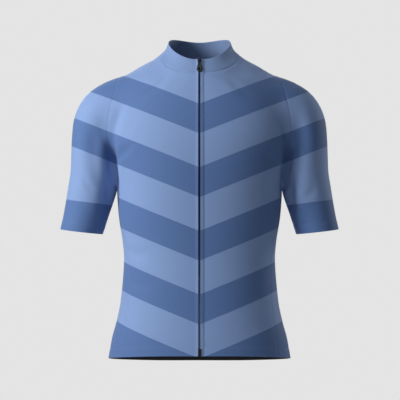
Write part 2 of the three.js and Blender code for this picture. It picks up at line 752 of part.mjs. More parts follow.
const archUnder = BRIDGE.height - BRIDGE.wall;
const archShape = outline([
  [-archHalf, -BRIDGE.wall / 2],
  [-archInner, -BRIDGE.wall / 2],
  [-archInner, archUnder],
  [archInner, archUnder],
  [archInner, -BRIDGE.wall / 2],
  [archHalf, -BRIDGE.wall / 2],
  [archHalf, archUnder],
  [archInner, BRIDGE.height],
  [-archInner, BRIDGE.height],
  [-archHalf, archUnder],
]);
const arch = block(archShape, 2 * BRIDGE.half)
  .translate(0, 0, -BRIDGE.half)
  .rotateZ(Math.PI / 2)
  .rotateY(Math.PI / 2)
  .translate(0, 0, SLIDER.high);
add('zip_slider', placeOn(joined(plate, foot, arch), collarLow, collarHigh, axisAlong), blackLook);

// Pull: a bar through the arch, two legs, and a plate that ends in a ring
const ringY = PULL.tip - PULL.length;
const ringTurn = { from: 160, to: 380, steps: 16 };
const pullShape = outline([
  [-PULL.neck, PULL.wall / 2],
  [-PULL.neck, -PULL.eyeEnd - 2],
  ...sample(ringTurn.steps, (t) => {
    const angle = THREE.MathUtils.degToRad(THREE.MathUtils.lerp(ringTurn.from, ringTurn.to, t));
    return [PULL.tip * Math.cos(angle), ringY + PULL.tip * Math.sin(angle)];
  }),
  [PULL.neck, -PULL.eyeEnd - 2],
  [PULL.neck, PULL.wall / 2],
]);
pullShape.holes.push(opening([
  [-PULL.eye, -PULL.wall / 2],
  [PULL.eye, -PULL.wall / 2],
  [PULL.eye, -PULL.eyeEnd],
  [-PULL.eye, -PULL.eyeEnd],
]));
pullShape.holes.push(new THREE.Path().absarc(0, ringY, PULL.hole, 0, 2 * Math.PI, true));
const pull = block(pullShape, PULL.wall)
  .translate(0, 0, -PULL.wall / 2)
  .rotateX(THREE.MathUtils.degToRad(PULL.tilt))
  .translate(0, 0, PULL_AXIS);
add('zip_pull', placeOn(pull, collarLow, collarHigh, axisAlong), blackLook);

// Band inside the hem, from beside one zip tape round to the other

const tapeToBand = TAPE.outer + 2 * LAYER_GAP - FRONT_EDGE;
const sideRight = mirrored(side);
const backOther = mirrored(backHalf);

function aroundHem(row) {
  const frontHalf = [between(front[row][0], front[row][1], tapeToBand), ...front[row].slice(1, -1)];
  return [
    ...frontHalf,
    ...side[row].slice(0, -1),
    ...backHalf[row].slice(0, -1),
    ...backOther[row].slice(0, -1),
    ...sideRight[row].slice(0, -1),
    ...mirrored([[...frontHalf, front[row].at(-1)]])[0],
  ];
}

const bandLow = aroundHem(0);
const bandHigh = aroundHem(1).map((node, i) => between(bandLow[i], node, BAND.height));
add('hem_gripper', layer([[bandLow, bandHigh]], behindCloth, behindCloth - BAND.wall), blackLook);

// Pocket panel over the back, sewn down along its foot, its ends and two lines between

const backRows = backHalf.slice(0, spineTop).map((row, j) => [...row, ...backOther[j].slice(1)]);
const pocketFoot = backRows[0].map((node, i) => between(node, backRows[1][i], POCKET.low));
const pocketTop = backRows[0].map((_, i) => {
  const j = backRows.findIndex((row) => row[i].p.z > POCKET.top);
  const [low, high] = [backRows[j - 1][i], backRows[j][i]];
  const share = (POCKET.top - low.p.z) / (high.p.z - low.p.z);
  return between(low, high, share * low.p.distanceTo(high.p));
});
const pocket = [pocketFoot, ...backRows.slice(1, POCKET.rows), pocketTop];
const pocketColumns = (2 * CELLS.across) / POCKET.count;
const pocketLift = (j, i) => {
  const across = Math.sin((Math.PI * (i % pocketColumns)) / pocketColumns);
  return LAYER_GAP + POCKET.puff * across * Math.sin((Math.PI / 2) * (j / POCKET.rows));
};
const pocketCut = trimmed(pocket, [
  ...columnEdge(0, 0, POCKET.rows, [0, 1]),
  ...columnEdge(2 * CELLS.across, 0, POCKET.rows, [0, -1]),
]);
add('pocket_panel', layer([pocketCut], (j, i) => pocketLift(j, i) + POCKET.wall, pocketLift), clothLook);

export default jersey;
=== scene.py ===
# %% [markdown]
# # A short-sleeved cycling jersey, worn by nobody
# The jersey keeps the rounded form that it has on a rider, with its neck, cuffs and hem open.
# Every cloth panel is made again here as a thin, soft shell on the same form, with seams,
# stitches and folds, and then stands for its CAD solid.

# %% Load the frame
import math

import bmesh
import bpy
import numpy as np
from mathutils import Matrix, Vector
from mathutils.kdtree import KDTree


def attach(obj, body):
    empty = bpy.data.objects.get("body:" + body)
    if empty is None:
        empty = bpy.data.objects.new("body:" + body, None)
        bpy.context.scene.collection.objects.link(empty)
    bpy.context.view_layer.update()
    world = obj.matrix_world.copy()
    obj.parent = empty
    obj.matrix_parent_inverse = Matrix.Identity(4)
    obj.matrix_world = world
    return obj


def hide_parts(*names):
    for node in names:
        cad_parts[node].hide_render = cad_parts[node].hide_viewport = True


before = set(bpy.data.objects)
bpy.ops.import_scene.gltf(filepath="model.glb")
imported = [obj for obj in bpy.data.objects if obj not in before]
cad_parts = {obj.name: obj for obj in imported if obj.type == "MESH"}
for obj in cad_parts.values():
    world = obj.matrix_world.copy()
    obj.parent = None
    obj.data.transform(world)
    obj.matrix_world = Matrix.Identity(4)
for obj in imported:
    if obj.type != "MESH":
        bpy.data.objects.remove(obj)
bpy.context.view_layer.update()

print("CAD nodes:", ", ".join(sorted(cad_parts)))

# %% [markdown]
# ## The form that the panels are cut to
# A jersey has no flat faces, so its form is written as a rule, not drawn as a shape: level ovals
# for the trunk, and a tube that follows each arm, run softly into each other. A distance that is
# negative inside and positive outside tells any point how far it is from the cloth. Sizes are in
# millimetres until a mesh is made, the same values as in the CAD part.

# %% Tables of the trunk and the arm
TRUNK = np.array([  # height, half width, reach to the front, reach to the back, squareness
    (-660, 196, 118, 126, 2.3), (-615, 186, 117, 121, 2.3), (-575, 179, 114, 115, 2.3),
    (-540, 169.5, 111, 108, 2.3), (-500, 161.5, 108, 101, 2.3), (-417, 154.5, 106, 93, 2.35),
    (-375, 157.5, 107.5, 94, 2.37), (-330, 164.5, 111, 98, 2.4), (-268, 167, 117, 106, 2.45),
    (-210, 177, 120, 114, 2.45), (-168, 189, 119, 118, 2.4), (-120, 189, 111, 116, 2.3),
    (-80, 174, 100, 109, 2.15), (-56, 149.5, 92, 103, 2.0), (-38, 119.5, 84, 97, 1.9),
    (-22, 100, 76, 91, 1.9), (-10, 90, 70, 86, 1.95), (4, 81, 64, 79, 2.0),
    (20, 73, 60, 72, 2.0), (50, 66, 56, 66, 2.0),
])
ARM = np.array([  # step along the arm, x, y, z and radius of the tube
    (0, 96, 6, -66, 49), (1, 128, 6, -85, 50), (2, 160, 6, -97, 51.5), (3, 187, 5, -112, 55),
    (4, 203, 4, -136, 54.5), (5, 209, 3, -168, 52.6), (6, 212, 2, -205, 51),
    (7, 214.5, 0, -240, 49.8), (8, 221.5, -2, -275, 48), (9, 229, -4, -310, 46),
    (10, 238, -6, -345, 43.5), (11, 248, -8, -380, 41.5),
])
DEPTH_RATIO = 1.08
ARM_PARTS = 44
SOFT_TOP, SOFT_BOTTOM = (-90, 34), (-230, 6)  # height, and how softly arm and trunk meet there


def read_table(table, value):
    """Smooth curves through a table's rows, straight beyond its ends."""
    value = np.asarray(value, float)
    keys, columns = table[:, 0], table[:, 1:]
    last = len(keys) - 1
    spots = np.arange(last + 1)
    before, after = np.maximum(spots - 1, 0), np.minimum(spots + 1, last)
    slope = (columns[after] - columns[before]) / (keys[after] - keys[before])[:, None]
    i = np.clip(np.searchsorted(keys, value) - 1, 0, last - 1)
    width = (keys[i + 1] - keys[i])[..., None]
    t = (value - keys[i])[..., None] / width
    c = np.clip(t, 0, 1)
    start, end = slope[i] * width, slope[i + 1] * width
    inside = (columns[i] * (2 * c**3 - 3 * c**2 + 1) + start * (c**3 - 2 * c**2 + c)
              + columns[i + 1] * (3 * c**2 - 2 * c**3) + end * (c**3 - c**2))
    return inside + start * np.minimum(t, 0) + end * np.maximum(t - 1, 0)


print("widest trunk oval at the chest:", read_table(TRUNK, -150)[0].round(1), "mm from the middle")


# %% Distances to the form
def smooth(value, low, high):
    t = np.clip((value - low) / (high - low), 0, 1)
    return t * t * (3 - 2 * t)


def trunk_parts(p, size):
    half, front, back, power = np.moveaxis(size, -1, 0)
    depth = np.where(p[..., 1] < 0, front, back)
    x, y = np.abs(p[..., 0] / half), np.abs(p[..., 1] / depth)
    return x, y, half, depth, power, np.maximum((x**power + y**power) ** (1 / power), 1e-6)


def trunk_distance(p):
    x, y, half, depth, power, reach = trunk_parts(p, read_table(TRUNK, p[..., 2]))
    scale = reach ** (1 - power)
    slope_x, slope_y = x ** (power - 1) / half * scale, y ** (power - 1) / depth * scale
    slope_z = trunk_parts(p, read_table(TRUNK, p[..., 2] + 1))[-1] - reach
    return (reach - 1) / np.sqrt(slope_x**2 + slope_y**2 + slope_z**2)


ARM_LINE = read_table(ARM, np.linspace(0, len(ARM) - 1, ARM_PARTS + 1))


def arm_distance(p):
    squeeze = np.array([1, 1 / DEPTH_RATIO, 1])
    start, step = ARM_LINE[:-1, :3] * squeeze, np.diff(ARM_LINE[:, :3], axis=0) * squeeze
    to_point = (p * squeeze)[..., None, :] - start
    t = np.clip((to_point * step).sum(-1) / (step * step).sum(-1), 0, 1)
    gap = np.linalg.norm(to_point - step * t[..., None], axis=-1)
    radius = ARM_LINE[:-1, 3] + np.diff(ARM_LINE[:, 3]) * t
    return (gap - radius).min(-1)


def form_distance(p):
    trunk = trunk_distance(p)
    arm = arm_distance(np.stack([np.abs(p[..., 0]), p[..., 1], p[..., 2]], -1))
    share = smooth(p[..., 2], SOFT_BOTTOM[0], SOFT_TOP[0])
    soft = SOFT_BOTTOM[1] + (SOFT_TOP[1] - SOFT_BOTTOM[1]) * share
    near = np.maximum(soft - np.abs(trunk - arm), 0) / soft
    return np.minimum(trunk, arm) - near * near * soft / 4


def slope_of(distance, p):
    steps = np.eye(3) * 0.5
    return np.stack([distance(p + s) - distance(p - s) for s in steps], -1)


def settle(distance, p, rounds=6):
    """Walks points down the slope until they lie on the form."""
    for _ in range(rounds):
        slope = slope_of(distance, p)
        steep = np.maximum((slope * slope).sum(-1), 0.05)
        p = p - slope * (distance(p) / steep)[..., None]
    return p


def unit(vectors):
    return vectors / np.linalg.norm(vectors, axis=-1, keepdims=True)


def outwards(p):
    return unit(slope_of(form_distance, p))


# %% [markdown]
# ## Seam lines
# A tailor draws the seams first, and every panel hangs between them. Each seam here is a fine
# chain of points on the form, and both panels beside it read the same chain, so they meet exactly.

# %% Seam lines on the wearer's left
ARMHOLE = np.array([  # height, distance from the middle
    (-275, 169), (-232, 171), (-200, 177), (-168, 185), (-130, 184), (-95, 177), (-65, 170),
    (-35, 163),
], float)
ARMHOLE_CENTRE = (3, -150)
UNDERARM_HALF = 34
HEM = {"side": -617, "rise": 15, "drop": 17, "seam_share": 0.86}
NECK = {"half": 83, "depth": 82, "middle": -2, "power": 2.2}
FRONT_EDGE = 2.2
FINE = 120


def turning_point(low, high, test):
    """Where a test that rises from false to true turns, for many points at once."""
    for _ in range(30):
        middle = (low + high) / 2
        true = test(middle)
        low, high = np.where(true, low, middle), np.where(true, middle, high)
    return low


def lengths_along(line):
    return np.concatenate([[0], np.cumsum(np.linalg.norm(np.diff(line, axis=0), axis=1))])


def at_lengths(lengths, reach, line):
    """Places at some lengths along a line; reach is how far along it each of its points is."""
    return np.stack([np.interp(lengths, reach, line[:, k]) for k in range(3)], -1)


def along(line, share):
    """Places at shares of a line's length."""
    reach = lengths_along(line)
    return at_lengths(np.asarray(share) * reach[-1], reach, line)


def mix(a, b, t):
    return a + (b - a) * t


def trunk_point(angle, z):
    angle, z = np.broadcast_arrays(angle, z)
    flat = np.stack([np.sin(angle), -np.cos(angle), z], -1)
    reach = trunk_parts(flat, read_table(TRUNK, z))[-1]
    return np.stack([flat[..., 0] / reach, flat[..., 1] / reach, z], -1)


def hem_point(angle):
    front = np.cos(angle)
    drop = np.where(front > 0, HEM["rise"], HEM["drop"])
    return trunk_point(angle, HEM["side"] + drop * front * (3 - front**2) / 2)


def neck_point(angle):
    def square(value):
        return np.sign(value) * np.abs(value) ** (2 / NECK["power"])

    x = NECK["half"] * square(np.sin(angle))
    y = NECK["middle"] - NECK["depth"] * square(np.cos(angle))
    z = turning_point(np.full_like(x, -70), np.full_like(x, 60),
                      lambda z: form_distance(np.stack([x, y, z], -1)) > 0)
    return np.stack([x, y, z], -1)


def armhole_point(angle):
    def at(reach):
        z = ARMHOLE_CENTRE[1] + reach * np.cos(angle)
        x, y = read_table(ARMHOLE, z)[..., 0], ARMHOLE_CENTRE[0] - reach * np.sin(angle)
        return np.stack([x, y, z], -1)

    reach = np.full_like(angle, 15.0)
    for _ in range(120):
        reach = np.where(form_distance(at(reach)) > 0, reach, reach + 2)
    return at(turning_point(reach - 2, reach, lambda r: form_distance(at(r)) > 0))


shares = np.linspace(0, 1, FINE + 1)
armhole = armhole_point(np.linspace(0, 2 * np.pi, 2 * FINE + 1))
armhole_length = lengths_along(armhole)[-1]
underarm = lengths_along(armhole)[FINE] / armhole_length
half_share = UNDERARM_HALF / armhole_length
front_join, back_join = underarm - half_share, underarm + half_share
armhole_front = along(armhole, shares * front_join)
armhole_under = along(armhole, mix(front_join, back_join, shares))
armhole_back = along(armhole, mix(back_join, 1, shares))
zip_angle = math.atan2(FRONT_EDGE, TRUNK[1, 2])
neck_front = neck_point(mix(zip_angle, np.pi / 2, shares))
neck_back = neck_point(mix(np.pi / 2, np.pi, shares))
shoulder = settle(form_distance, mix(neck_back[0], armhole[0], shares[:, None]))
print("armhole", round(armhole_length), "mm, shoulder seam", round(lengths_along(shoulder)[-1]), "mm")


# %% Side seams, the zip's line and the middle of the back
def hem_angle_of_seam(is_front):
    def angle_at(t):
        return t if is_front else np.pi - t

    def outside(t):
        p = hem_point(angle_at(t))
        return p[..., 0] > HEM["seam_share"] * read_table(TRUNK, p[..., 2])[..., 0]

    return float(angle_at(turning_point(np.array(0.0), np.array(np.pi / 2), outside)))


def side_seam(hem_angle, join):
    low = hem_point(np.array(hem_angle))
    turn = mix(hem_angle, math.atan2(join[0], -join[1]), shares**2 * (1.6 - 0.6 * shares))
    line = settle(trunk_distance, trunk_point(turn, mix(low[2], join[2], shares)))
    line[-1] = join
    return line


front_angle, back_angle = hem_angle_of_seam(True), hem_angle_of_seam(False)
front_seam = side_seam(front_angle, armhole_under[0])
back_seam = side_seam(back_angle, armhole_under[-1])
zip_z = mix(hem_point(np.array(zip_angle))[2], neck_front[0, 2], shares)
centre_front = settle(form_distance, np.stack(
    [np.full_like(zip_z, FRONT_EDGE), -read_table(TRUNK, zip_z)[:, 1], zip_z], -1))
centre_front[:, 0] = FRONT_EDGE
spine_z = mix(hem_point(np.array(np.pi))[2], neck_back[-1, 2], shares)
spine = np.stack([np.zeros_like(spine_z), read_table(TRUNK, spine_z)[:, 2], spine_z], -1)
print("side seam", round(lengths_along(front_seam)[-1]), "mm")

# %% [markdown]
# ## Panels between the seams
# A panel is a grid whose four edges follow its seams. Its inner points are first blended from the
# edges and then settled on the form. The grid's lines are closer beside the seams, because that is
# where the cloth is drawn in by its stitches.

# %% Panel grids
CELLS = {"across": 9, "side": 13, "armhole": 13, "neck_front": 6, "neck_back": 4, "underarm": 4,
         "sleeve": 12}
ROWS = CELLS["side"] + CELLS["armhole"]
PER_ROW, PER_COLUMN = 7, 5
EDGE_LINES = (0.2, 0.5)  # extra lines beside a seam, as shares of one fine cell


def stops(cells, each):
    """Where a grid's lines lie, from 0 to 1."""
    fine = 1 / (cells * each)
    extra = np.array(EDGE_LINES) * fine
    return np.sort(np.concatenate([np.arange(cells * each + 1) * fine, extra, 1 - extra]))


def two_lines(low, high, cells):
    """One edge made of two seams that meet after so many of the panel's cells."""
    corner = cells / ROWS
    return lambda v: np.where((v < corner)[:, None], along(low, np.minimum(v / corner, 1)),
                              along(high, np.maximum((v - corner) / (1 - corner), 0)))


def panel(bottom, top, left, right, u, v):
    """left and right are functions of v. Gives grid[row][column] of points on the form."""
    low, high, start, end = along(bottom, u), along(top, u), left(v), right(v)
    across, up = u[None, :, None], v[:, None, None]
    corners = mix(mix(low[0], low[-1], across), mix(high[0], high[-1], across), up)
    grid = mix(start[:, None], end[:, None], across) + mix(low[None], high[None], up) - corners
    grid = settle(form_distance, grid)
    grid[0], grid[-1], grid[:, 0], grid[:, -1] = low, high, start, end
    return grid


across_stops, row_stops = stops(CELLS["across"], PER_COLUMN), stops(ROWS, PER_ROW)
side_stops, under_stops = stops(CELLS["side"], PER_ROW), stops(CELLS["underarm"], PER_COLUMN)


def hem_line(low, high):
    return hem_point(mix(low, high, shares))


front_grid = panel(hem_line(zip_angle, front_angle), shoulder,
                   two_lines(centre_front, neck_front, ROWS - CELLS["neck_front"]),
                   two_lines(front_seam, armhole_front[::-1], CELLS["side"]), across_stops, row_stops)
side_grid = panel(hem_line(front_angle, back_angle), armhole_under,
                  lambda v: along(front_seam, v), lambda v: along(back_seam, v), under_stops, side_stops)
back_grid = panel(hem_line(back_angle, np.pi), shoulder[::-1],
                  two_lines(back_seam, armhole_back, CELLS["side"]),
                  two_lines(spine, neck_back[::-1], ROWS - CELLS["neck_back"]), across_stops, row_stops)
for name, grid in (("front", front_grid), ("side", side_grid), ("back half", back_grid)):
    print(name, "panel:", grid.shape[0], "by", grid.shape[1], "points, off the form by",
          round(float(np.abs(form_distance(grid)).max()), 3), "mm at most")

# %% [markdown]
# A set-in sleeve is a tube whose first ring is the armhole. The rings fan out from the underarm,
# where the sleeve is short, over the shoulder, where it is long. Two guide lines, seen from the
# front, give the tube's outer and inner edge.

# %% Sleeve grid
SLEEVE_OUTER = [(163, -41), (200, -55), (226, -73), (245, -99), (255, -126), (261, -165),
                (263, -205), (265, -245), (271, -275), (277, -315), (283, -353)]
SLEEVE_INNER = [(170, -266), (181, -298), (190, -330), (199, -362.5)]
SLEEVE_DEPTH, SLEEVE_LEVEL = (60, 47), (3, -6)  # half depth and middle, at the shoulder and cuff


def upright(pairs):
    return np.array([(x, 0, z) for x, z in pairs], float)


def sleeve_guide(t, angle):
    outer, inner = along(upright(SLEEVE_OUTER), t)[:, None], along(upright(SLEEVE_INNER), t)[:, None]
    middle = (outer + inner) / 2
    level, depth = mix(*SLEEVE_LEVEL, t)[:, None], mix(*SLEEVE_DEPTH, t)[:, None]
    guide = middle + (outer - middle) * np.cos(angle)[None, :, None]
    guide[..., 1] += level - depth * np.sin(angle)[None]
    return guide


ring_stops = np.concatenate([
    np.linspace(0, front_join, CELLS["armhole"] * PER_COLUMN + 1)[:-1],
    np.linspace(front_join, back_join, CELLS["underarm"] * PER_COLUMN + 1)[:-1],
    np.linspace(back_join, 1, CELLS["armhole"] * PER_COLUMN + 1),
])
length_stops = stops(CELLS["sleeve"], PER_ROW)
ring_top = along(armhole, ring_stops)
guide = sleeve_guide(length_stops, ring_stops * 2 * np.pi)
guide = guide + (ring_top - guide[0])[None] * ((1 - length_stops) ** 4)[:, None, None]
on_arm = settle(arm_distance, guide)
sleeve_grid = settle(form_distance, mix(guide, on_arm, np.minimum(1, 4 * length_stops)[:, None, None]))
sleeve_grid[0], sleeve_grid[:, -1] = ring_top, sleeve_grid[:, 0]
print("sleeve:", sleeve_grid.shape[0], "rings of", sleeve_grid.shape[1] - 1, "points, cuff",
      round(lengths_along(sleeve_grid[-1])[-1]), "mm round")

# %% [markdown]
# ## Folds and seam grooves
# On a filled-out jersey the cloth is nearly taut, so its folds are few, long and soft. Each one is
# a path on the cloth with a width and a depth. Cloth sinks along the path and swells a little
# beside it. Stitches draw the cloth in along every seam, which gives a narrow groove.

# %% Distance to a line on the cloth
def near(p, line):
    """Distance from each point to a chain of points, and the share of the chain that is nearest."""
    start, step = line[:-1], np.diff(line, axis=0)
    flat = p.reshape(-1, 3)
    reach = lengths_along(line)
    best, share = np.empty(len(flat)), np.empty(len(flat))
    for i in range(0, len(flat), 4000):
        to_point = flat[i:i + 4000, None] - start
        t = np.clip((to_point * step).sum(-1) / (step * step).sum(-1), 0, 1)
        gap = np.linalg.norm(to_point - step * t[..., None], axis=-1)
        nearest = gap.argmin(1)
        rows = np.arange(len(nearest))
        best[i:i + 4000] = gap[rows, nearest]
        share[i:i + 4000] = (reach[nearest] + t[rows, nearest] * np.diff(reach)[nearest]) / reach[-1]
    return best.reshape(p.shape[:-1]), share.reshape(p.shape[:-1])


def on_cloth(x, z, facing):
    """The cloth's point at x and z, on its front (-1) or its back (1)."""
    x, z = np.asarray(x, float), np.asarray(z, float)
    y = turning_point(np.zeros_like(x), np.full_like(x, 160),
                      lambda y: form_distance(np.stack([x, facing * y, z], -1)) > 0)
    return np.stack([x, facing * y, z], -1)


# Facing, width and depth in mm, then the path as x and z, on the front or the back
FOLDS = [
    # the sleeves' fronts: one long soft hollow each, where the arm would bend
    (-1, 15, 4.0, [(-213, -128), (-215, -165), (-212, -205), (-205, -250), (-201, -300)]),
    (-1, 13, 3.6, [(200, -118), (203, -160), (202, -205), (199, -250), (203, -292)]),
    # beside the armpits, where the sleeves' inner sides turn away
    (-1, 16, 9.5, [(-182, -158), (-180, -200), (-178, -238), (-183, -285), (-192, -335)]),
    (-1, 16, 10.5, [(182, -156), (180, -200), (178, -238), (183, -287), (192, -338)]),
    # a sharper crease at the foot of each armhole
    (-1, 8, 3.8, [(-181, -178), (-175, -208), (-172, -234), (-171, -262), (-173, -284)]),
    (-1, 8, 4.4, [(182, -172), (175, -206), (172, -234), (171, -262), (173, -286)]),
    # from the armpits up over the front of the shoulder
    (-1, 9, 2.6, [(-176, -205), (-171, -160), (-160, -118), (-150, -92)]),
    (-1, 8, 2.2, [(178, -212), (173, -165), (165, -128)]),
    (-1, 8, 1.6, [(-168, -222), (-150, -196), (-126, -178)]),
    (-1, 9, 1.3, [(166, -236), (148, -214), (118, -203)]),
    # small pulls at the cuffs and by the neck
    (-1, 7, 1.2, [(-238, -240), (-226, -262), (-208, -276)]),
    (-1, 7, 1.0, [(236, -262), (222, -280), (207, -287)]),
    (-1, 8, 1.0, [(-58, -40), (-86, -66), (-120, -84)]),
    (-1, 8, 0.9, [(52, -44), (84, -74), (112, -90)]),
    # waist, where the cloth shortens
    (-1, 10, 1.5, [(-150, -392), (-126, -402), (-96, -404)]),
    (-1, 10, 1.2, [(150, -412), (124, -420), (98, -418)]),
    (-1, 13, 1.2, [(-152, -446), (-118, -462), (-78, -466)]),
    (-1, 12, 1.1, [(152, -470), (122, -482), (88, -484)]),
    # the back: long hollows beside the shoulder blades and soft cross folds above the pockets
    (1, 16, 3.0, [(-150, -118), (-148, -160), (-140, -205), (-126, -245)]),
    (1, 15, 2.7, [(152, -126), (149, -170), (141, -215), (130, -250)]),
    (1, 14, 2.0, [(-62, -358), (-20, -368), (30, -364), (72, -352)]),
    (1, 13, 1.6, [(-96, -404), (-52, -412), (4, -408), (58, -413)]),
    (1, 12, 1.4, [(96, -330), (60, -340), (24, -336)]),
    (1, 11, 1.5, [(-28, -34), (-56, -62), (-94, -80)]),
    (1, 11, 1.3, [(30, -38), (62, -66), (98, -86)]),
    (1, 14, 3.6, [(-216, -135), (-216, -180), (-210, -230), (-205, -275)]),
    (1, 14, 3.2, [(214, -140), (216, -185), (211, -235), (208, -285)]),
    (1, 8, 1.3, [(-240, -250), (-226, -272), (-206, -284)]),
    (1, 8, 1.2, [(242, -244), (226, -268), (208, -282)]),
]
SWELL = 0.3  # how much the cloth swells beside a fold, as a share of its depth
BESIDE_FOLD = 1.9  # where it swells most, in fold widths from the path
FOLD_END = 0.35  # the share of a path over which a fold starts or ends


def fold_line(facing, path):
    points = np.array(path, float)
    dense = read_table(np.column_stack([np.arange(len(points)), points]),
                       np.linspace(0, len(points) - 1, 4 * len(points)))
    return on_cloth(dense[:, 0], dense[:, 1], facing)


fold_lines = [(width, depth, fold_line(facing, path)) for facing, width, depth, path in FOLDS]


def folded(p):
    """How far the folds lift the cloth at each point; sinking is negative."""
    lift = np.zeros(p.shape[:-1])
    for width, depth, line in fold_lines:
        gap, share = near(p, line)
        ends = smooth(share, 0, FOLD_END) * smooth(1 - share, 0, FOLD_END)
        gap = gap / width
        lift -= depth * ends * (np.exp(-gap**2) - SWELL * np.exp(-((gap - BESIDE_FOLD) ** 2)))
    return lift


print(len(fold_lines), "folds, the deepest", max(depth for _, depth, _ in fold_lines), "mm")

# %% Seam grooves, hems and cuffs
GROOVE = {"depth": 0.4, "neck_depth": 0.9, "width": 1.7}
HEM_FOLD = {"height": 19, "swell": 0.35, "groove": 0.35, "width": 1.4}
flip = np.array([-1, 1, 1])
cuff_line = sleeve_grid[-1]
hem_left = hem_point(np.linspace(zip_angle, np.pi, 3 * FINE))
seams_left = [front_seam, back_seam, armhole, shoulder]
neck_line = np.concatenate([neck_front, neck_back[1:]])


def turned_hem(from_edge, height, swell):
    """How a hem lifts the cloth: it is thicker up to its stitches, and these draw it in."""
    groove = HEM_FOLD["groove"] * np.exp(-((from_edge - height) / HEM_FOLD["width"]) ** 2)
    return swell * (1 - smooth(from_edge, height - 1, height + 2)) - groove


def sewn(p):
    """How far seams and turned hems lift the cloth at each point on the wearer's left."""
    gap = np.min([near(p, line)[0] for line in seams_left], axis=0)
    lift = -GROOVE["depth"] * np.exp(-(gap / GROOVE["width"]) ** 2)
    lift -= GROOVE["neck_depth"] * np.exp(-(near(p, neck_line)[0] / GROOVE["width"]) ** 2)
    edge = np.minimum(near(p, hem_left)[0], near(p, cuff_line)[0])
    return lift + turned_hem(edge, HEM_FOLD["height"], HEM_FOLD["swell"])


def dressed(grid):
    """The finished outer faces of a left panel and of its mirror image, with their outward ways."""
    way, lift = outwards(grid), sewn(grid)
    left = grid + way * (lift + folded(grid))[..., None]
    other, other_way = (grid * flip)[:, ::-1], (way * flip)[:, ::-1]
    right = other + other_way * (lift[:, ::-1] + folded(other))[..., None]
    return (left, way), (right, other_way)


front_left, front_right = dressed(front_grid)
side_left, side_right = dressed(side_grid)
back_left, back_right = dressed(back_grid)
sleeve_left, sleeve_right = dressed(sleeve_grid)
print("cloth sinks up to", round(float(-min(folded(front_grid).min(), folded(sleeve_grid).min())), 1), "mm")

# %% [markdown]
# ## Colours and finishes
# The cloth is a light knit with a printed pattern of two blues. The pattern here is a plain one of
# broad pointed bands, worked out from the place on the jersey, so it runs on across the seams.
# A small class lets shader sums be written like any other sum: each operator adds a Math node.

# %% Shader helpers
class Value:
    """A number that changes over a surface."""

    def __init__(self, look, socket):
        self.look, self.socket = look, socket

    def sum_with(self, operation, a, b):
        return self.look.node("ShaderNodeMath", {"operation": operation}, {0: a, 1: b})

    def __add__(self, other):
        return self.sum_with("ADD", self, other)

    def __sub__(self, other):
        return self.sum_with("SUBTRACT", self, other)

    def __rsub__(self, other):
        return self.sum_with("SUBTRACT", other, self)

    def __mul__(self, other):
        return self.sum_with("MULTIPLY", self, other)

    def __truediv__(self, other):
        return self.sum_with("DIVIDE", self, other)

    __radd__, __rmul__ = __add__, __mul__


class Look:
    """A material, with one Principled shader."""

    def __init__(self, name, **constants):
        self.material = bpy.data.materials.new(name)
        self.material.use_nodes = True
        self.tree = self.material.node_tree
        self.shader = self.tree.nodes["Principled BSDF"]
        for socket, value in constants.items():
            self.shader.inputs[socket.replace("_", " ")].default_value = value

    def node(self, kind, settings, inputs, output=0):
        made = self.tree.nodes.new(kind)
        for key, value in settings.items():
            if key == "stops":
                ramp = made.color_ramp.elements
                while len(ramp) < len(value):
                    ramp.new(1)
                for element, (place, colour) in zip(ramp, value):
                    element.position, element.color = place, colour
            else:
                setattr(made, key, value)
        for key, value in inputs.items():
            if isinstance(value, Value):
                self.tree.links.new(value.socket, made.inputs[key])
            else:
                made.inputs[key].default_value = value
        return Value(self, made.outputs[output])

    def function(self, operation, value, *others):
        return self.node("ShaderNodeMath", {"operation": operation},
                         {0: value, **{i + 1: other for i, other in enumerate(others)}})

    def place(self, kind="Object"):
        return self.node("ShaderNodeTexCoord", {}, {}, kind)

    def parts(self, vector):
        split = self.node("ShaderNodeSeparateXYZ", {}, {0: vector})
        return [Value(self, out) for out in split.socket.node.outputs]

    def wave(self, axis, length):
        """A sine along the cloth's own first or second direction, in its millimetres."""
        place = self.parts(self.place("UV"))[axis]
        return self.function("SINE", place * (2 * math.pi / length))

    def step(self, value, low, high):
        return self.node("ShaderNodeMapRange", {"interpolation_type": "SMOOTHSTEP"},
                         {"Value": value, "From Min": low, "From Max": high})

    def blend(self, mask, a, b):
        return self.node("ShaderNodeMix", {"data_type": "RGBA"}, {0: mask, 6: a, 7: b}, 2)

    def feed(self, **links):
        for socket, value in links.items():
            self.tree.links.new(value.socket, self.shader.inputs[socket.replace("_", " ")])
        return self

    def bumps(self, height, depth, strength=1.0):
        """Fine relief that is too small for the mesh."""
        return self.feed(Normal=self.node("ShaderNodeBump", {}, {
            "Height": height, "Distance": depth, "Strength": strength}))


def colour(red, green, blue):
    """A colour given as the eye sees it, from 0 to 255, as Blender's linear colour."""
    def linear(c):
        c /= 255
        return c / 12.92 if c <= 0.04045 else ((c + 0.055) / 1.055) ** 2.4

    return (linear(red), linear(green), linear(blue), 1)


def scaled(shade, factor):
    return tuple(factor * c for c in shade[:3]) + (1,)


# %% [markdown]
# Knitted cloth shows columns of tiny loops. A sine across and a sine along, in the panel's own
# millimetres, are enough for a knit that is finer than a millimetre and a half. The sheen makes
# the edges of the cloth glow a little, as brushed polyester does.

# %% Jersey cloth
LIGHT_BLUE, DEEP_BLUE = colour(129, 157, 206), colour(82, 114, 168)
BAND = {"rise": 0.4, "period": 0.126, "deep": 0.47, "start": 0.036, "edge": 0.0012,
        "count": 5}
KNIT = {"across": 1.1, "along": 1.5, "depth": 0.00012}
CUFF_BAND, LIGHT_RING = 62, 48  # heights above the cuff's edge and above the band, in mm


def knit(look):
    height = look.wave(0, KNIT["across"]) * 0.5 + look.wave(1, KNIT["along"]) * 0.3
    return look.bumps(height, KNIT["depth"], 0.6)


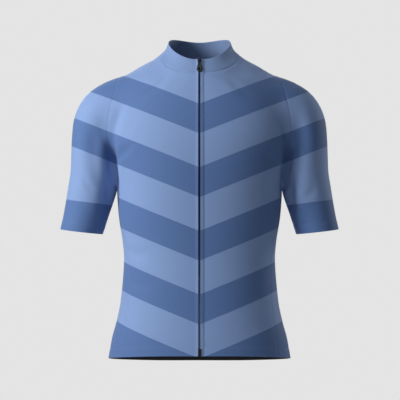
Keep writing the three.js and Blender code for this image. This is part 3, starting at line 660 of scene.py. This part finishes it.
def band_mask(look):
    """1 in the deep bands, which rise outwards from the middle of the front and the back."""
    x, _, z = look.parts(look.place())
    phase = (z - look.function("ABSOLUTE", x) * BAND["rise"] + BAND["start"]) / BAND["period"]
    turn = look.function("FRACT", phase)
    edge = BAND["edge"] / BAND["period"]
    bands = look.step(turn, 0.0, edge) * (1 - look.step(turn, BAND["deep"], BAND["deep"] + edge))
    bands = bands * (1 - look.step(phase, -edge, 0.0))
    return bands + 1 - look.step(phase, -BAND["count"], edge - BAND["count"])


def printed_cloth(name, cuff=False):
    look = Look(name, Roughness=0.78, Sheen_Weight=0.12, Sheen_Roughness=0.5)
    mask = band_mask(look)
    if cuff:
        _, from_cuff, _ = look.parts(look.place("UV"))
        ring_top = CUFF_BAND + LIGHT_RING
        mask = mask * look.step(from_cuff, ring_top - 1, ring_top + 1)
        mask = mask + 1 - look.step(from_cuff, CUFF_BAND - 1, CUFF_BAND + 1)
    look.feed(Base_Color=look.blend(mask, LIGHT_BLUE, DEEP_BLUE))
    return knit(look).material


def plain_cloth(name, shade, roughness=0.8):
    look = Look(name, Roughness=roughness, Sheen_Weight=0.12, Sheen_Roughness=0.5)
    flecks = look.node("ShaderNodeTexNoise", {}, {"Vector": look.place(), "Scale": 900.0})
    look.feed(Base_Color=look.blend(flecks, scaled(shade, 0.88), shade))
    return knit(look).material


body_cloth = printed_cloth("printed_knit")
sleeve_cloth = printed_cloth("printed_knit_sleeve", cuff=True)
collar_cloth = plain_cloth("light_knit", LIGHT_BLUE)
# the reverse is the unprinted side of the cloth; its blue is a little darker than the front's light blue,
# which is painted shade
reverse_with_painted_shade = plain_cloth("reverse_of_the_knit_painted_shade", colour(121, 146, 190))
thread = plain_cloth("blue_thread", colour(114, 141, 190), 0.7)

# %% Black tape, coil, enamel and elastic
RIB_WIDTH = 0.9


def ribbed(name, shade, roughness, pitch, depth):
    look = Look(name, Roughness=roughness)
    ribs = look.wave(1, pitch) + look.wave(0, RIB_WIDTH) * 0.4
    look.feed(Base_Color=look.blend(look.step(ribs, -1.0, 1.4), shade, scaled(shade, 1.6)))
    return look.bumps(ribs, depth, 0.7).material


def speckled(name, shade, roughness, metallic, coat):
    look = Look(name, Metallic=metallic, Coat_Weight=coat, Coat_Roughness=0.25)
    cloud = look.node("ShaderNodeTexNoise", {}, {"Vector": look.place(), "Scale": 600.0, "Detail": 3.0})
    look.feed(Base_Color=look.blend(cloud, shade, scaled(shade, 1.5)),
              Roughness=cloud * 0.15 + (roughness - 0.07))
    return look.bumps(cloud, 0.00004, 0.4).material


tape_cloth = ribbed("black_woven_tape", colour(20, 21, 26), 0.85, 0.8, 0.0001)
elastic_cloth = ribbed("black_elastic", colour(14, 15, 20), 0.7, 2.2, 0.0003)
coil_nylon = speckled("black_nylon_coil", colour(9, 10, 15), 0.52, 0.0, 0.0)
black_enamel = speckled("black_enamel", colour(7, 8, 15), 0.5, 0.0, 0.12)
print("finishes:", len(bpy.data.materials))

# %% [markdown]
# ## From grids to cloth
# Each panel starts as Blender's flat grid. Its points are moved to their places on the form, and
# the solidify operator then gives the cloth its thickness on the inside. The new faces get the
# plain, unprinted reverse of the cloth, whose blue is painted a little darker than the front as
# shade. Rims stay sharp and everything else is shaded smoothly.

# %% Making a piece of cloth
CLOTH = 1.3
SHARP = math.radians(38)
RIM, RIM_REACH = 1.0, 2.5  # a rim's turn in radians, and how near its line it lies
MERGE = 0.000005  # points nearer than this, in metres, become one
collection = bpy.context.scene.collection


def measured(grid):
    """How far each point is from the grid's first column and from its first row, in mm."""
    def run(axis):
        steps = np.linalg.norm(np.diff(grid, axis=axis), axis=-1)
        return np.concatenate([np.zeros_like(steps.take([0], axis)), steps.cumsum(axis)], axis)

    return np.stack([run(1), run(0)], -1)


def sheet_mesh(grid, sizes=None):
    """A bmesh grid whose points lie where the array says; its UV map is in millimetres."""
    sizes = measured(grid) if sizes is None else sizes
    rows, columns = grid.shape[:2]
    bm = bmesh.new()
    layer = bm.loops.layers.uv.new("millimetres")
    bmesh.ops.create_grid(bm, x_segments=columns - 1, y_segments=rows - 1, size=1)
    for vert, place in zip(bm.verts, grid.reshape(-1, 3) / 1000):
        vert.co = place
    bm.verts.index_update()
    flat = sizes.reshape(-1, 2)
    for face in bm.faces:
        for loop in face.loops:
            loop[layer].uv = flat[loop.vert.index]
    return bm


def thicken(bm, thickness, reverse=1):
    """Adds the inner face and the rims; the inner face gets the material of that number."""
    bm.normal_update()
    outer, shown = len(bm.faces), len(bm.verts)
    bmesh.ops.solidify(bm, geom=bm.faces[:], thickness=thickness / 1000)
    bm.faces.ensure_lookup_table()
    for face in bm.faces[outer:]:
        face.material_index = reverse
    bm.verts.ensure_lookup_table()
    places = KDTree(shown)
    for vert in bm.verts[:shown]:
        places.insert(vert.co, vert.index)
    places.balance()
    stray = [vert for vert in bm.verts[shown:] if places.find(vert.co)[2] > 2 * thickness / 1000]
    for _ in range(5):  # points thrown out of a tight corner go back among their neighbours
        left = []
        for vert in stray:
            beside = [edge.other_vert(vert) for edge in vert.link_edges]
            sound = [other.co for other in beside if other not in stray]
            if sound:
                vert.co = sum(sound, Vector()) / len(sound)
            else:
                left.append(vert)
        stray = left
    return bm


def linked(bm, name, materials):
    mesh = bpy.data.meshes.new(name)
    bm.to_mesh(mesh)
    bm.free()
    for material in materials:
        mesh.materials.append(material)
    made = bpy.data.objects.new(name, mesh)
    collection.objects.link(made)
    return made


def piece(bm, name, materials, stands_for=(), body="garment"):
    for face in bm.faces:
        face.smooth = True
    bm.normal_update()
    for edge in bm.edges:
        edge.smooth = edge.calc_face_angle(0) < SHARP
    made = linked(bm, name, materials)
    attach(made, body)
    if stands_for:
        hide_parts(*stands_for)
    return made


def cloth_piece(bm, node, outer=body_cloth):
    """A piece of jersey cloth, with the plain reverse inside in a blue painted a little darker as shade,
    that stands for its CAD solid.
    """
    return piece(bm, f"{node}_cloth", [outer, reverse_with_painted_shade], [node])


def rounded(bm, line, offset):
    """Rounds the rim that runs along a line of points, as a turned edge is."""
    bm.normal_update()
    rim = [e for e in bm.edges if e.calc_face_angle(0) > RIM]
    middles = np.array([(e.verts[0].co + e.verts[1].co) / 2 for e in rim]) * 1000
    gap, _ = near(middles, line)
    chosen = [e for e, g in zip(rim, gap) if g < RIM_REACH]
    bmesh.ops.bevel(bm, geom=chosen, offset=offset / 1000, offset_type="OFFSET", affect="EDGES",
                    segments=2, profile=0.5, material=-1)
    return bm


# %% Fronts, sides and back
def simple_panel(faces, node):
    return cloth_piece(thicken(sheet_mesh(faces[0]), CLOTH), node)


front_left_cloth = simple_panel(front_left, "front_left")
front_right_cloth = simple_panel(front_right, "front_right")
side_left_cloth = simple_panel(side_left, "side_left")
side_right_cloth = simple_panel(side_right, "side_right")

# The two halves of the back share the spine but not the neckline above it, so the strip of faces
# between them goes and the points that then coincide are merged
half = back_left[0].shape[1]
back_mesh = sheet_mesh(np.concatenate([back_left[0], back_right[0]], axis=1))
back_mesh.faces.ensure_lookup_table()
between = [f for k, f in enumerate(back_mesh.faces) if k % (2 * half - 1) == half - 1]
bmesh.ops.delete(back_mesh, geom=between, context="FACES")
bmesh.ops.remove_doubles(back_mesh, verts=back_mesh.verts[:], dist=MERGE)
back_cloth = cloth_piece(thicken(back_mesh, CLOTH), "back")
print("back:", len(back_cloth.data.polygons), "faces")


# %% Sleeves
def sleeve_piece(faces, node):
    sizes = measured(faces[0])
    sizes[..., 1] = sizes[-1:, :, 1] - sizes[..., 1]  # counted from the cuff up
    bm = sheet_mesh(faces[0], sizes)
    bmesh.ops.remove_doubles(bm, verts=bm.verts[:], dist=MERGE)
    return cloth_piece(thicken(bm, CLOTH), node, sleeve_cloth)


sleeve_left_cloth = sleeve_piece(sleeve_left, "sleeve_left")
sleeve_right_cloth = sleeve_piece(sleeve_right, "sleeve_right")
print("sleeves:", len(sleeve_left_cloth.data.polygons), "faces each")

# %% [markdown]
# ## Collar
# The collar is a straight strip of the same cloth, sewn to the neckline and folded over at the
# top. Its front ends are low and it is high at the nape. Each upright line of its grid leans in
# from the neck seam to the top edge, and the top rim is bevelled to look folded.

# %% Collar cloth
COLLAR = {"half": 63.5, "depth": 65, "middle": -3, "top": 36, "lift": 3, "dip": 47, "dip_end": 120}
COLLAR_BOW = (0.5, -3.6)  # how far it bows out in front and behind, and at the sides
COLLAR_WALL = 1.5
COLLAR_HEIGHT = 25  # about, for the groove beside its seam


def collar_grid(columns, rows):
    base = along(neck_line, np.linspace(0, 1, columns))
    angle = np.arctan2(base[:, 0] / NECK["half"], (NECK["middle"] - base[:, 1]) / NECK["depth"])
    turn = np.minimum(np.degrees(angle) / COLLAR["dip_end"], 1)
    dip = np.cos(turn * np.pi / 2) ** 2
    lift = np.where(angle > np.pi / 2, np.sin(2 * angle) ** 2, 0)
    lead = FRONT_EDGE - COLLAR["half"] * math.sin(angle[0])
    top = np.stack([COLLAR["half"] * np.sin(angle) + lead * (1 + np.cos(angle)) / 2,
                    COLLAR["middle"] - COLLAR["depth"] * np.cos(angle),
                    COLLAR["top"] + COLLAR["lift"] * lift - COLLAR["dip"] * dip], -1)
    base[0, 0], top[-1, 0], base[-1, 0] = FRONT_EDGE, 0, 0
    around = np.stack([np.cos(angle), np.sin(angle), np.zeros_like(angle)], -1)
    way = unit(np.cross(around, top - base))
    t = np.linspace(0, 1, rows)[:, None, None]
    groove = -GROOVE["neck_depth"] * np.exp(-(t * COLLAR_HEIGHT / GROOVE["width"]) ** 2)
    bow = mix(*COLLAR_BOW, np.sin(angle)[None, :, None] ** 2)
    grid = base + (top - base) * t + way * (bow * np.sin(np.pi * t) + groove)
    return grid, np.broadcast_to(way, grid.shape)


half_grid, half_way = collar_grid(90, 13)
collar_points = np.concatenate([half_grid, (half_grid * flip)[:, -2::-1]], axis=1)
collar_way = np.concatenate([half_way, (half_way * flip)[:, -2::-1]], axis=1)
collar_mesh = thicken(sheet_mesh(collar_points), COLLAR_WALL)
rounded(collar_mesh, collar_points[-1], 0.5)
collar_piece = cloth_piece(collar_mesh, "collar", collar_cloth)
print("collar:", round(lengths_along(collar_points[0])[-1]), "mm along the neck seam")

# %% [markdown]
# ## Zip
# A full-length zip has two woven tapes behind the fronts, a nylon coil on each, and a strip of
# cloth on either side that frames the coil. The coil's loops are a few faces each, because there
# are hundreds of them.

# %% Lines beside the zip
NEAR_ZIP = 16  # columns of a front that reach past the tape


def row_at_corner(cells):
    """The row of a front or back whose side turns from its middle line into the neckline."""
    return int(np.argmin(np.abs(row_stops - (ROWS - cells) / ROWS)))


corner_row = row_at_corner(CELLS["neck_front"])


def beside_zip(distances):
    """Places at distances from the middle, from the hem to the collar's top, and the ways out."""
    rows = [*front_grid[:corner_row, :NEAR_ZIP], *half_grid[:, :NEAR_ZIP]]
    points = np.array([at_lengths(distances, lengths_along(row) + FRONT_EDGE, row) for row in rows])
    ways = np.concatenate([outwards(front_grid[:corner_row, :1]), half_way[:, :1]])
    ways[..., 0] = 0
    for _ in range(3):
        ways[1:-1] = (ways[:-2] + ways[1:-1] * 2 + ways[2:]) / 4
    return points, np.repeat(unit(ways), len(distances), axis=1)


print("the collar starts at row", corner_row, "of the fronts")

# %% Placket strips and tapes
PLACKET = {"width": 6.4, "wall": 0.9, "ridge": 0.5, "edge": 0.3, "gap": 0.3, "over_seam": 0.5,
           "round": 0.12, "sink": 0.5}  # its rim by the zip is rounded over this share of its width
PLACKET_STOPS = np.array([0, 0.05, PLACKET["round"], 0.22, 0.4, 0.6, 0.8, 0.94, 1])
SEAM_SPREAD = 6  # how far above and below the neck seam a placket is lifted by it
TAPE = {"inner": 0.6, "outer": 12, "wall": 0.9, "behind": 0.6}


def placket_strip():
    points, ways = beside_zip(FRONT_EDGE + PLACKET["width"] * PLACKET_STOPS)
    crown = mix(PLACKET["wall"] + PLACKET["ridge"], PLACKET["edge"], PLACKET_STOPS)
    crown = crown - PLACKET["sink"] * np.maximum(PLACKET["round"] - PLACKET_STOPS, 0) / PLACKET["round"]
    from_seam = (points[..., 2] - neck_front[0, 2]) / SEAM_SPREAD
    over = PLACKET["over_seam"] * np.exp(-from_seam**2)
    return points + ways * (PLACKET["gap"] + over + crown)[..., None], ways


strip, strip_way = placket_strip()
strip_right = (strip * flip)[:, ::-1]
placket_left_cloth = cloth_piece(thicken(sheet_mesh(strip), PLACKET["edge"]), "placket_left")
placket_right_cloth = cloth_piece(thicken(sheet_mesh(strip_right), PLACKET["edge"]), "placket_right")

tape, tape_way = beside_zip(np.linspace(TAPE["inner"], TAPE["outer"], 7))
tape = tape - tape_way * (CLOTH + TAPE["behind"])
zip_tapes = [
    piece(thicken(sheet_mesh(points), TAPE["wall"], 0), f"zip_tape_{side_name}_woven", [tape_cloth],
          [f"zip_tape_{side_name}"])
    for side_name, points in (("left", tape), ("right", (tape * flip)[:, ::-1]))]
print("zip line:", round(lengths_along(strip[:, 0])[-1]), "mm")

# %% Coil
COIL = {"pitch": 1.3, "half": (0.8, 0.75, 1.1), "reach": 0.8, "low": -0.55, "box": 15.3}
GLANCE = 0.3  # how far ahead and back a line's direction is read


def frames_along(points, ways, pitch, start=0.0):
    """Places at an even pitch along a line: point, direction along it and way out of the cloth."""
    reach = lengths_along(points)
    at = np.arange(start + pitch / 2, reach[-1], pitch)
    ahead = at_lengths(at + GLANCE, reach, points) - at_lengths(at - GLANCE, reach, points)
    return at_lengths(at, reach, points), unit(ahead), at_lengths(at, reach, ways)


def beads(places, aheads, outs, size):
    """Small long rounds, one at each place; size is half of its length, height and width."""
    bm = bmesh.new()
    for place, ahead, out in zip(places, aheads, outs):
        ahead = Vector(ahead)
        side = ahead.cross(Vector(out)).normalized()
        turn = Matrix((ahead, side.cross(ahead), side)).transposed().to_4x4()
        matrix = Matrix.Translation(Vector(place) / 1000) @ turn @ Matrix.Diagonal((*size, 1))
        bmesh.ops.create_icosphere(bm, subdivisions=1, radius=0.001, matrix=matrix)
    return bm


middle_line, middle_way = beside_zip(np.array([FRONT_EDGE]))
middle_line, middle_way = middle_line[:, 0] * [0, 1, 1], middle_way[:, 0]
places, aheads, outs = frames_along(middle_line, middle_way, COIL["pitch"], COIL["box"])
side_way = np.array([1, 0, 0]) * np.where(np.arange(len(places)) % 2, 1, -1)[:, None]
coil_places = places + side_way * COIL["reach"] + outs * COIL["low"]
piece(beads(coil_places, aheads, outs, COIL["half"]), "zip_coil", [coil_nylon],
      ["zip_chain"])
print(len(places), "coil loops")

# %% Slider, pull and bottom box
def eased(node, name, material, offset, body="garment"):
    """A copy of a CAD node with its sharp edges eased, as cast or moulded metal has."""
    bm = bmesh.new()
    bm.from_mesh(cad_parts[node].data)
    bmesh.ops.remove_doubles(bm, verts=bm.verts[:], dist=0.00001)
    bmesh.ops.dissolve_limit(bm, angle_limit=0.02, verts=bm.verts[:], edges=bm.edges[:])
    bm.normal_update()
    corners = [e for e in bm.edges if e.calc_face_angle(0) > 0.6]
    bmesh.ops.bevel(bm, geom=corners, offset=offset / 1000, offset_type="OFFSET", affect="EDGES",
                    segments=2, profile=0.5, material=-1, clamp_overlap=True)
    return piece(bm, name, [material], [node], body)


eased("zip_slider", "slider", black_enamel, 0.12)
eased("zip_pull", "pull_tab", black_enamel, 0.2, "pull")
eased("zip_bottom_box", "bottom_box", black_enamel, 0.25)

# %% [markdown]
# ## Hem gripper and back pockets
# Inside the hem runs a black elastic band that keeps the jersey from riding up. On the back three
# pockets share one outer panel: it is sewn down at its foot, its ends and along two lines, and
# swells a little between them. Its top edge is turned over elastic.

# %% Hem gripper
GRIPPER = {"height": 20, "wall": 1.0, "behind": 0.5, "from_zip": 12.6}


def lower_rows(grid, way, heights):
    """Points at the given heights above the hem, measured up along the cloth."""
    reach = measured(grid)[..., 1]

    def read(values):
        columns = [at_lengths(heights, reach[:, i], values[:, i]) for i in range(grid.shape[1])]
        return np.stack(columns, axis=1)

    return read(grid), unit(read(way))


def around_hem(heights):
    """The cloth all round the hem, from one side of the zip to the other."""
    around = (front_left, side_left, back_left, back_right, side_right, front_right)
    parts = [lower_rows(grid[:, min(k, 1):], way[:, min(k, 1):], heights)
             for k, (grid, way) in enumerate(around)]
    points, ways = (np.concatenate(values, axis=1) for values in zip(*parts))
    keep = (np.abs(points[0, :, 0]) > GRIPPER["from_zip"]) | (points[0, :, 1] > 0)
    return points[:, keep], ways[:, keep]


grip, grip_way = around_hem(np.linspace(0.3, GRIPPER["height"], 9))
grip = grip - grip_way * (CLOTH + GRIPPER["behind"])
hem_gripper_band = piece(thicken(sheet_mesh(grip), GRIPPER["wall"], 0), "hem_gripper_band",
                         [elastic_cloth], ["hem_gripper"])
grip_length = float(lengths_along(grip[4])[-1])
print("gripper:", round(grip_length), "mm long")

# %% Back pockets
POCKET = {"top": -438, "low": 1, "wall": 1.2, "gap": 0.3, "puff": 3.2, "slack": 0.9, "count": 3,
          "rows": 48, "hem": 17, "hem_swell": 0.3, "rim": 0.35}
back_points = np.concatenate([back_left[0], back_right[0][:, 1:]], axis=1)
back_way = np.concatenate([back_left[1], back_right[1][:, 1:]], axis=1)


def pocket_grid():
    """The back's lower part, from just above the hem to the pockets' level top edge."""
    points, ways = [], []
    for i in range(back_points.shape[1]):
        line = back_points[:, i]
        reach = lengths_along(line)
        top = np.interp(POCKET["top"], line[:, 2], reach)
        at = np.linspace(POCKET["low"], top, POCKET["rows"])
        points.append(at_lengths(at, reach, line))
        ways.append(at_lengths(at, reach, back_way[:, i]))
    points = np.stack(points, axis=1)
    return points, unit(np.stack(ways, axis=1)), measured(points)


pocket_points, pocket_way, pocket_sizes = pocket_grid()
row_width = pocket_sizes[:, -1:, 0]
share_across = pocket_sizes[..., 0] / row_width
share_up = np.linspace(0, 1, POCKET["rows"])[:, None]
from_top = pocket_sizes[-1:, :, 1] - pocket_sizes[..., 1]
swell = np.abs(np.sin(np.pi * POCKET["count"] * share_across)) ** 0.8
swell = swell * np.sin(np.pi / 2 * share_up) ** 0.9
ripple = np.sin(share_up * np.pi * 3.2 + 5 * share_across) * swell * (1 - share_up)
pocket_lift = (POCKET["gap"] + POCKET["wall"] + POCKET["puff"] * swell + POCKET["slack"] * ripple
               + turned_hem(from_top, POCKET["hem"], POCKET["hem_swell"]))
pocket_face = pocket_points + pocket_way * pocket_lift[..., None]
pocket_mesh = thicken(sheet_mesh(pocket_face[:, 1:-1]), POCKET["wall"])
rounded(pocket_mesh, pocket_face[-1], POCKET["rim"])
pocket_panel_cloth = cloth_piece(pocket_mesh, "pocket_panel")
print("pockets:", POCKET["count"], "under a panel", round(float(row_width[-1, 0])), "mm wide at the top")

# %% [markdown]
# ## Stitches
# Cover stitches hold the hems and cuffs in two rows, and a row of stitches runs on either side of
# every seam. Each stitch is a small long bead that sinks halfway into the cloth.

# %% Stitch rows
STITCH = {"pitch": 3.0, "size": (1.0, 0.2, 0.24), "beside": 2.3}
COVER_ROWS = (HEM_FOLD["height"] - 3, HEM_FOLD["height"] + 0.4)  # above the edge of a hem or cuff
COLLAR_ROWS = (2.4, 4.5)  # one above the collar's seam, one below its top edge
POCKET_ROWS, POCKET_ENDS = (POCKET["hem"] - 2.4, POCKET["hem"] + 0.6), 3
PLACKET_COLUMN = 6  # the placket's column that is stitched down


def column_at(faces, distance, from_right=False, rows=slice(None)):
    """A line of points up a panel, at a distance from its left or right edge."""
    grid, way = (values[rows, ::(-1 if from_right else 1)] for values in faces)
    reach = [lengths_along(row) for row in grid]
    return tuple(np.array([at_lengths(distance, r, row) for r, row in zip(reach, values)])
                 for values in (grid, way))


def row_at(faces, distance, from_top=False):
    """A line of points across a panel, at a distance from its lower or upper edge."""
    grid, way = (values[::(-1 if from_top else 1)] for values in faces)
    points, ways = lower_rows(grid, way, np.array([distance]))
    return points[0], ways[0]


def stitches(name, lines):
    frames = [frames_along(points, ways, STITCH["pitch"]) for points, ways in lines]
    places, aheads, outs = (np.concatenate(values) for values in zip(*frames))
    piece(beads(places, aheads, outs, STITCH["size"]), name, [thread])
    print(name, len(places), "stitches")


fronts, sides, backs = (front_left, front_right), (side_left, side_right), (back_left, back_right)
sleeves = (sleeve_left, sleeve_right)
stitches("hem_stitches", [row_at(faces, height) for faces in fronts + sides + backs
                          for height in COVER_ROWS])
stitches("cuff_stitches", [row_at(faces, height, True) for faces in sleeves for height in COVER_ROWS])

beside = STITCH["beside"]
seam_lines = [column_at(front_left, beside, True), column_at(front_right, beside),
              column_at(back_left, beside), column_at(back_right, beside, True)]
seam_lines += [column_at(faces, beside, other) for faces in sides for other in (False, True)]
seam_lines += [row_at(faces, beside) for faces in sleeves]
seam_lines += [row_at(faces, beside, True) for faces in fronts + backs]
stitches("seam_stitches", seam_lines)

neck_rows = slice(corner_row + 1, None)
spine_rows = slice(row_at_corner(CELLS["neck_back"]) + 1, None)
stitches("neck_stitches", [
    column_at(front_left, beside, False, neck_rows), column_at(front_right, beside, True, neck_rows),
    column_at(back_left, beside, True, spine_rows), column_at(back_right, beside, False, spine_rows),
    row_at((collar_points, collar_way), COLLAR_ROWS[0]),
    row_at((collar_points, collar_way), COLLAR_ROWS[1], True),
])
placket_line = (strip[:, PLACKET_COLUMN], strip_way[:, PLACKET_COLUMN])
stitches("placket_stitches", [placket_line, tuple(values * flip for values in placket_line)])

pocket_faces = (pocket_face, pocket_way)
pocket_lines = [row_at(pocket_faces, height, True) for height in POCKET_ROWS]
pocket_lines += [column_at(pocket_faces, POCKET_ENDS, other) for other in (False, True)]
for k in range(1, POCKET["count"]):
    columns = np.abs(share_across - k / POCKET["count"]).argmin(1)
    rows = np.arange(len(pocket_face))
    pocket_lines.append((pocket_face[rows, columns], pocket_way[rows, columns]))
stitches("pocket_stitches", pocket_lines)

# %% [markdown]
# ## What each sheet was cut to
# Each row gives a pattern piece as it lies flat before sewing: its widest width, its length and
# its area. Jersey is knitted cloth that takes a rounded form by stretching a little, so the flat
# pieces are the cloth as it is here, laid out without stretch. Seam allowances are left out.

SHEETS = [  # piece, flat width and length in metres, flat area in square metres, strips sewn to it
    (front_left_cloth, 0.22, 0.64, 0.110, [placket_left_cloth]),
    (front_right_cloth, 0.22, 0.64, 0.110, [placket_right_cloth]),
    (side_left_cloth, 0.15, 0.39, 0.038, []),
    (side_right_cloth, 0.15, 0.39, 0.038, []),
    (back_cloth, 0.41, 0.69, 0.231, []),
    (sleeve_left_cloth, 0.35, 0.36, 0.081, []),
    (sleeve_right_cloth, 0.35, 0.36, 0.081, []),
    (collar_piece, 0.54, 0.045, 0.018, []),
    (pocket_panel_cloth, 0.352, 0.197, 0.0625, []),
    (zip_tapes[0], 0.01, 0.61, 0.0061, []),
    (zip_tapes[1], 0.01, 0.61, 0.0061, []),
    (hem_gripper_band, round(grip_length / 1000, 3), GRIPPER["height"] / 1000,
     round(grip_length * GRIPPER["height"] / 1e6, 4), []),
]
for made, width, length, area, strips in SHEETS:
    print(made.name, "cut to", width, "by", length, "m, area", area, "square metres")

# %% [markdown]
# ## Studio
# The photograph has one broad light from the upper left, a plain pale backdrop and no floor near
# the jersey. The backdrop is a large dome that only the camera sees, so it adds no light.

# %% Backdrop and floor
BACKDROP = colour(228, 228, 228)


def stage_piece(name, bm, look):
    made = linked(bm, name, [look.material])
    return made


dome_mesh = bmesh.new()
bmesh.ops.create_icosphere(dome_mesh, subdivisions=5, radius=12)
bmesh.ops.reverse_faces(dome_mesh, faces=dome_mesh.faces[:])
dome = stage_piece("backdrop", dome_mesh, Look("pale_backdrop", Base_Color=(0, 0, 0, 1), Roughness=1.0,
                                               Specular_IOR_Level=0.0, Emission_Color=BACKDROP,
                                               Emission_Strength=1.0))
for kind in ("diffuse", "glossy", "transmission", "volume_scatter", "shadow"):
    setattr(dome, f"visible_{kind}", False)
floor_mesh = bmesh.new()
bmesh.ops.create_circle(floor_mesh, cap_ends=True, segments=96, radius=3.6,
                        matrix=Matrix.Translation((0, 0, -1.35)))
stage_piece("floor", floor_mesh, Look("pale_floor", Base_Color=colour(222, 222, 222), Roughness=0.9))

# %% Lights and camera
MIDDLE = Vector((0, 0, -0.3))
LIGHTS = [  # name, place, width in metres and power in watts; all face the jersey's middle
    ("key", (-1.75, -1.0, 0.55), 0.9, 42),
    ("top_fill", (-0.6, -1.6, 1.8), 1.2, 11),
    ("rim", (2.3, 1.5, 0.5), 1.4, 22),
    ("back_fill", (-0.6, 2.9, 1.1), 2.0, 45),
]
for name, place, size, power in LIGHTS:
    light = bpy.data.lights.new(name, "AREA")
    light.shape, light.size, light.energy = "DISK", size, power
    made = bpy.data.objects.new(name, light)
    made.location = place
    made.rotation_euler = (MIDDLE - Vector(place)).to_track_quat("-Z", "Y").to_euler()
    collection.objects.link(made)
world = bpy.data.worlds.new("soft_room")
world.use_nodes = True
world.node_tree.nodes["Background"].inputs["Color"].default_value = (0.93, 0.96, 1, 1)
world.node_tree.nodes["Background"].inputs["Strength"].default_value = 0.1
bpy.context.scene.world = world

camera_data = bpy.data.cameras.new("camera")
camera_data.lens, camera_data.sensor_width = 140.5, 36
camera = bpy.data.objects.new("camera", camera_data)
camera.location = (0.001, -3.2, -0.293)
camera.rotation_euler = (math.pi / 2, 0, 0)
collection.objects.link(camera)
bpy.context.scene.camera = camera
bpy.context.scene.view_settings.view_transform = "Standard"
